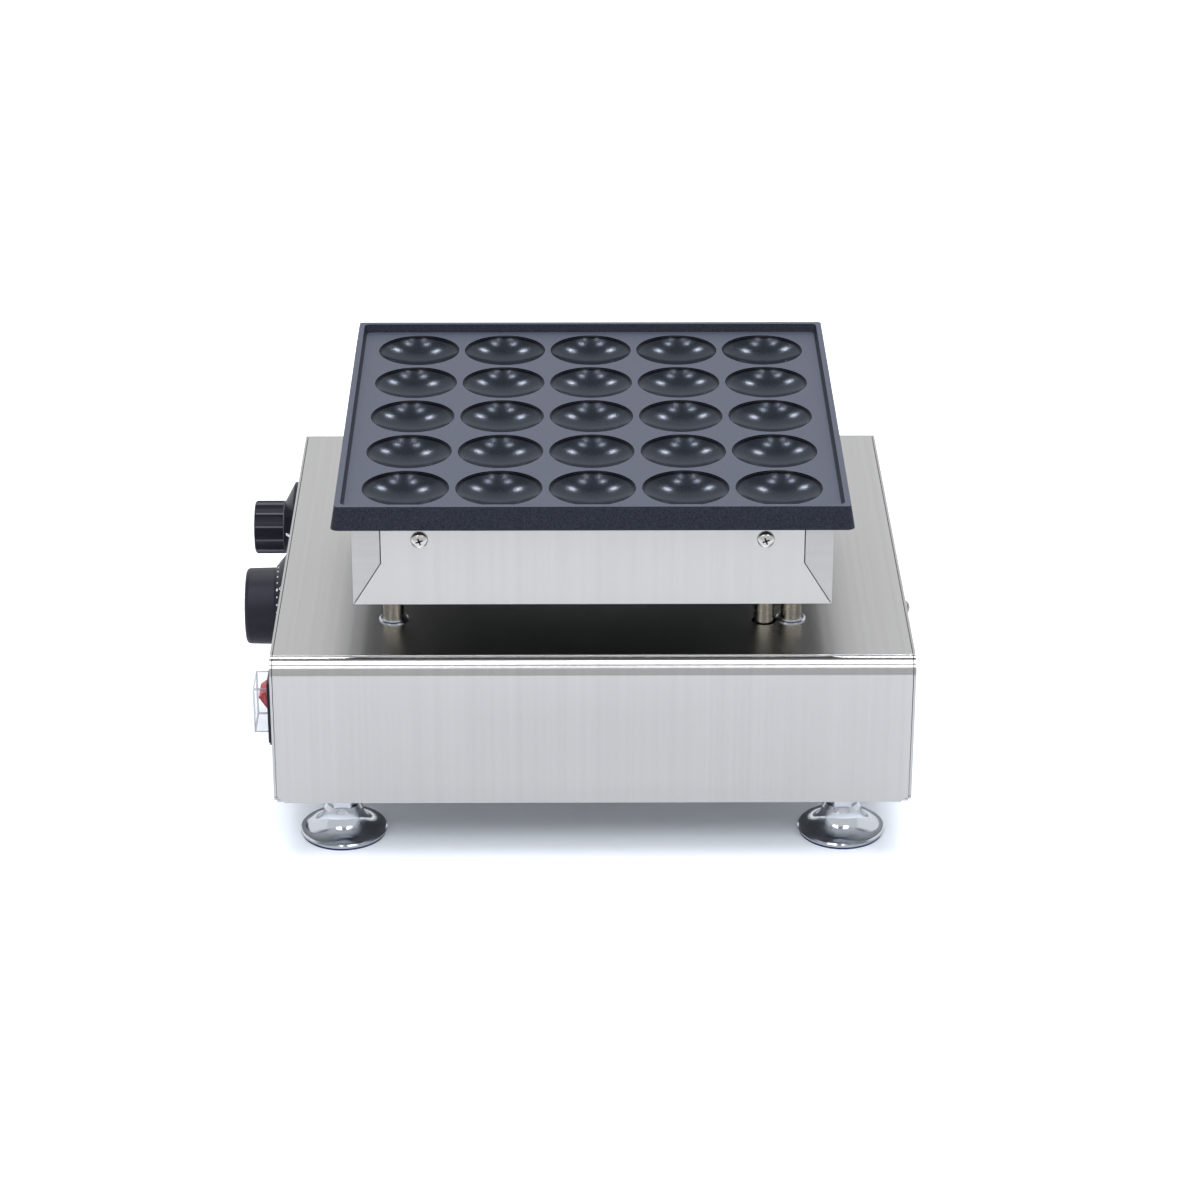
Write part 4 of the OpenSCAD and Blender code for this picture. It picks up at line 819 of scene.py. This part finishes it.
# %% Mark of the thermostat
GRIP_RIM, GRIP_TOP = (26.2 * MM, 4.6 * MM), (16.1 * MM, 10.0 * MM)
MARK_W, MARK_L, MARK_H, MARK_SUNK, MARK_CORNER = 1.7 * MM, 9.0 * MM, 0.18 * MM, 0.08 * MM, 0.5 * MM
MARK_TURN, MARK_RING = 79.5, 21.6 * MM
grip_axis = knob_axis("thermostat_knob")
bpy.ops.object.select_all(action="DESELECT")
bpy.ops.mesh.primitive_plane_add(size=1, location=(0, 0, 0))
mark = bpy.context.object
mark.data.transform(Matrix.Diagonal((MARK_W, MARK_L, 1, 1)))
bpy.ops.object.mode_set(mode="EDIT")
bpy.ops.mesh.select_all(action="SELECT")
bpy.ops.mesh.bevel(offset=MARK_CORNER, segments=3, affect="VERTICES")
pull_up(MARK_H, 0.9, 0.98)
face_outwards()
place = on_cone(grip_axis, MARK_TURN, MARK_RING, GRIP_RIM, GRIP_TOP)
mark.data.transform(place @ Matrix.Translation((0, 0, -MARK_SUNK)))
mark = joined([mark], "thermostat_mark", print_white, "thermostat_dial")
print("mark faces:", len(mark.data.polygons))

# %% [markdown]
# ## Screws of the heater box
# The plate is screwed to lugs behind the front and rear of the box with four pan-head screws. The real head
# is a shallow dome with a crisp rim and a cross recess whose arms taper to a point. A lathe profile gives
# the dome, a tapered cross is cut out of it, and the finished screw is copied to the other three places.
# The walls and the floor of the recess get painted shade, a dark dull material, as no light reaches them.

# %% Turn the screw's dome
HEAD_R, HEAD_H = 4.6 * MM, 2.8 * MM


def lathe(name, profile, steps=48):
    """Spins a list of radius and height round the Z axis into a closed shell."""
    mesh = bpy.data.meshes.new(name)
    mesh.from_pydata([(radius, 0, height) for radius, height in profile],
                     [(i, i + 1) for i in range(len(profile) - 1)], [])
    turned = bpy.data.objects.new(name, mesh)
    scene.collection.objects.link(turned)
    select_only(turned)
    bpy.ops.object.mode_set(mode="EDIT")
    bpy.ops.mesh.select_all(action="SELECT")
    bpy.ops.mesh.spin(steps=steps, angle=2 * math.pi, center=(0, 0, 0), axis=(0, 0, 1))
    bpy.ops.mesh.select_all(action="SELECT")
    bpy.ops.mesh.remove_doubles(threshold=0.005 * MM)
    face_outwards()
    return turned


profile = [(0, -9), (2.45, -9), (2.45, 0), (4.30, 0), (4.55, 0.18), (4.60, 0.55), (4.45, 1.10), (4.05, 1.65),
           (3.40, 2.12), (2.60, 2.46), (1.70, 2.67), (0.85, 2.77), (0, 2.80)]
screw = lathe("screw", [(radius * MM, height * MM) for radius, height in profile])
print("dome faces:", len(screw.data.polygons))

# %% Cut the cross recess
ARM_L, ARM_W, ARM_H, ARM_MIDDLE = 5.2 * MM, 0.95 * MM, 3.2 * MM, 2.2 * MM
TAPER_BELOW, TAPER_L, TAPER_W, CROSS_TURN = 1.5 * MM, 0.34, 0.75, 20
arms = []
for turn in (0, 90):
    bpy.ops.object.select_all(action="DESELECT")
    bpy.ops.mesh.primitive_cube_add(size=1, location=(0, 0, 0))
    arm = bpy.context.object
    arm.data.transform(Matrix.Translation((0, 0, ARM_MIDDLE)) @ Matrix.Diagonal((ARM_L, ARM_W, ARM_H, 1)))
    for vertex in arm.data.vertices:
        if vertex.co.z < TAPER_BELOW:
            vertex.co.x *= TAPER_L
            vertex.co.y *= TAPER_W
    arm.data.transform(Matrix.Rotation(math.radians(turn + CROSS_TURN), 4, "Z"))
    arms.append(arm)
for arm in arms:
    cut = screw.modifiers.new("recess", "BOOLEAN")
    cut.operation = "DIFFERENCE"
    cut.object = arm
    cut.solver = "EXACT"
    select_only(screw)
    bpy.ops.object.modifier_apply(modifier=cut.name)
for arm in arms:
    bpy.data.objects.remove(arm)
screw.data.transform(Matrix.Rotation(math.pi / 2, 4, "X"))
print("screw faces:", len(screw.data.polygons))

# %% Put the four screws in
screws_low, screws_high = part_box("heater_screws")
screw_z = (screws_low.z + screws_high.z) / 2
places_x = (screws_low.x + HEAD_R, screws_high.x - HEAD_R)
front_seat, rear_seat = screws_low.y + HEAD_H, screws_high.y - HEAD_H
screws = []
for x in places_x:
    for y, turn in ((front_seat, 0), (rear_seat, math.pi)):
        screws.append(copy_at(screw, Matrix.Translation((x, y, screw_z)) @ Matrix.Rotation(turn, 4, "Z")))
bpy.data.objects.remove(screw)
box_screws = joined(screws, "box_screws", bright_steel, "base")
bpy.ops.object.shade_smooth_by_angle(angle=math.radians(40))
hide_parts("heater_screws")
print("box screws:", len(screws), "faces:", len(box_screws.data.polygons))

# %% Darken the recesses
RECESS_R, RECESS_FROM, RECESS_FLOOR, FACES_ASIDE = 2.65 * MM, 0.3 * MM, 1.6 * MM, 0.8


def in_recess(face):
    """Whether a face of the screws is a wall or the floor of a cross recess."""
    screw_x = min(places_x, key=lambda x: abs(face.center.x - x))
    off_axis = math.hypot(face.center.x - screw_x, face.center.z - screw_z)
    out = max(front_seat - face.center.y, face.center.y - rear_seat)
    wall_or_floor = abs(face.normal.y) < FACES_ASIDE or out < RECESS_FLOOR
    return off_axis < RECESS_R and out > RECESS_FROM and wall_or_floor


# painted shade on the walls and floor of each cross recess
print("recess faces:", second_finish(box_screws, shadowed, in_recess))

# %% [markdown]
# ## Threads of the feet
# Each foot is turned in or out on an M8 stud to level the grill, and the thread shows between the bell and
# the base. A real thread is rolled: one V-shaped groove that winds up the rod with a pitch of 1.25 mm. Here
# the outline of a single turn is carried up a screw path, and a plain core with bevelled ends closes it.

# %% Wind one threaded stud
PITCH, ROOT_R, CREST_R, STEPS_A_TURN = 1.25 * MM, 3.36 * MM, 3.96 * MM, 20
stud_low, stud_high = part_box("foot_stud_front_left")
stud_l = stud_high.z - stud_low.z
turns = int(stud_l / PITCH) - 1
mesh = bpy.data.meshes.new("thread")
outline = [(ROOT_R, 0), (ROOT_R, 0.13), (CREST_R, 0.52), (CREST_R, 0.66), (ROOT_R, 1.05), (ROOT_R, 1.25)]
mesh.from_pydata([(radius, 0, height * MM) for radius, height in outline],
                 [(i, i + 1) for i in range(len(outline) - 1)], [])
thread = bpy.data.objects.new("thread", mesh)
scene.collection.objects.link(thread)
winding = thread.modifiers.new("winding", "SCREW")
winding.screw_offset = PITCH
winding.iterations = turns
winding.steps = winding.render_steps = STEPS_A_TURN
winding.use_merge_vertices = True
winding.merge_threshold = 0.005 * MM
select_only(thread)
bpy.ops.object.modifier_apply(modifier=winding.name)
thread.data.transform(Matrix.Translation((0, 0, (stud_l - turns * PITCH) / 2)))
print("thread turns:", turns, "faces:", len(thread.data.polygons))

# %% Put the studs in the feet
END_BEVEL, CORE_R = 0.6 * MM, ROOT_R + 0.02 * MM
core = lathe("core", [(0, 0), (ROOT_R - END_BEVEL, 0), (CORE_R, END_BEVEL), (CORE_R, stud_l - END_BEVEL),
                      (ROOT_R - END_BEVEL, stud_l), (0, stud_l)], STEPS_A_TURN)
for corner in ("front_left", "front_right", "rear_left", "rear_right"):
    low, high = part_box("foot_stud_" + corner)
    place = Matrix.Translation(((low.x + high.x) / 2, (low.y + high.y) / 2, low.z))
    wound_rod = [copy_at(thread, place), copy_at(core, place)]
    stud = joined(wound_rod, "threaded_stud_" + corner, zinc, "foot_" + corner)
    bpy.ops.object.shade_smooth_by_angle(angle=math.radians(30))
    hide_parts("foot_stud_" + corner)
for start in (thread, core):
    bpy.data.objects.remove(start)
print("stud faces:", len(stud.data.polygons))
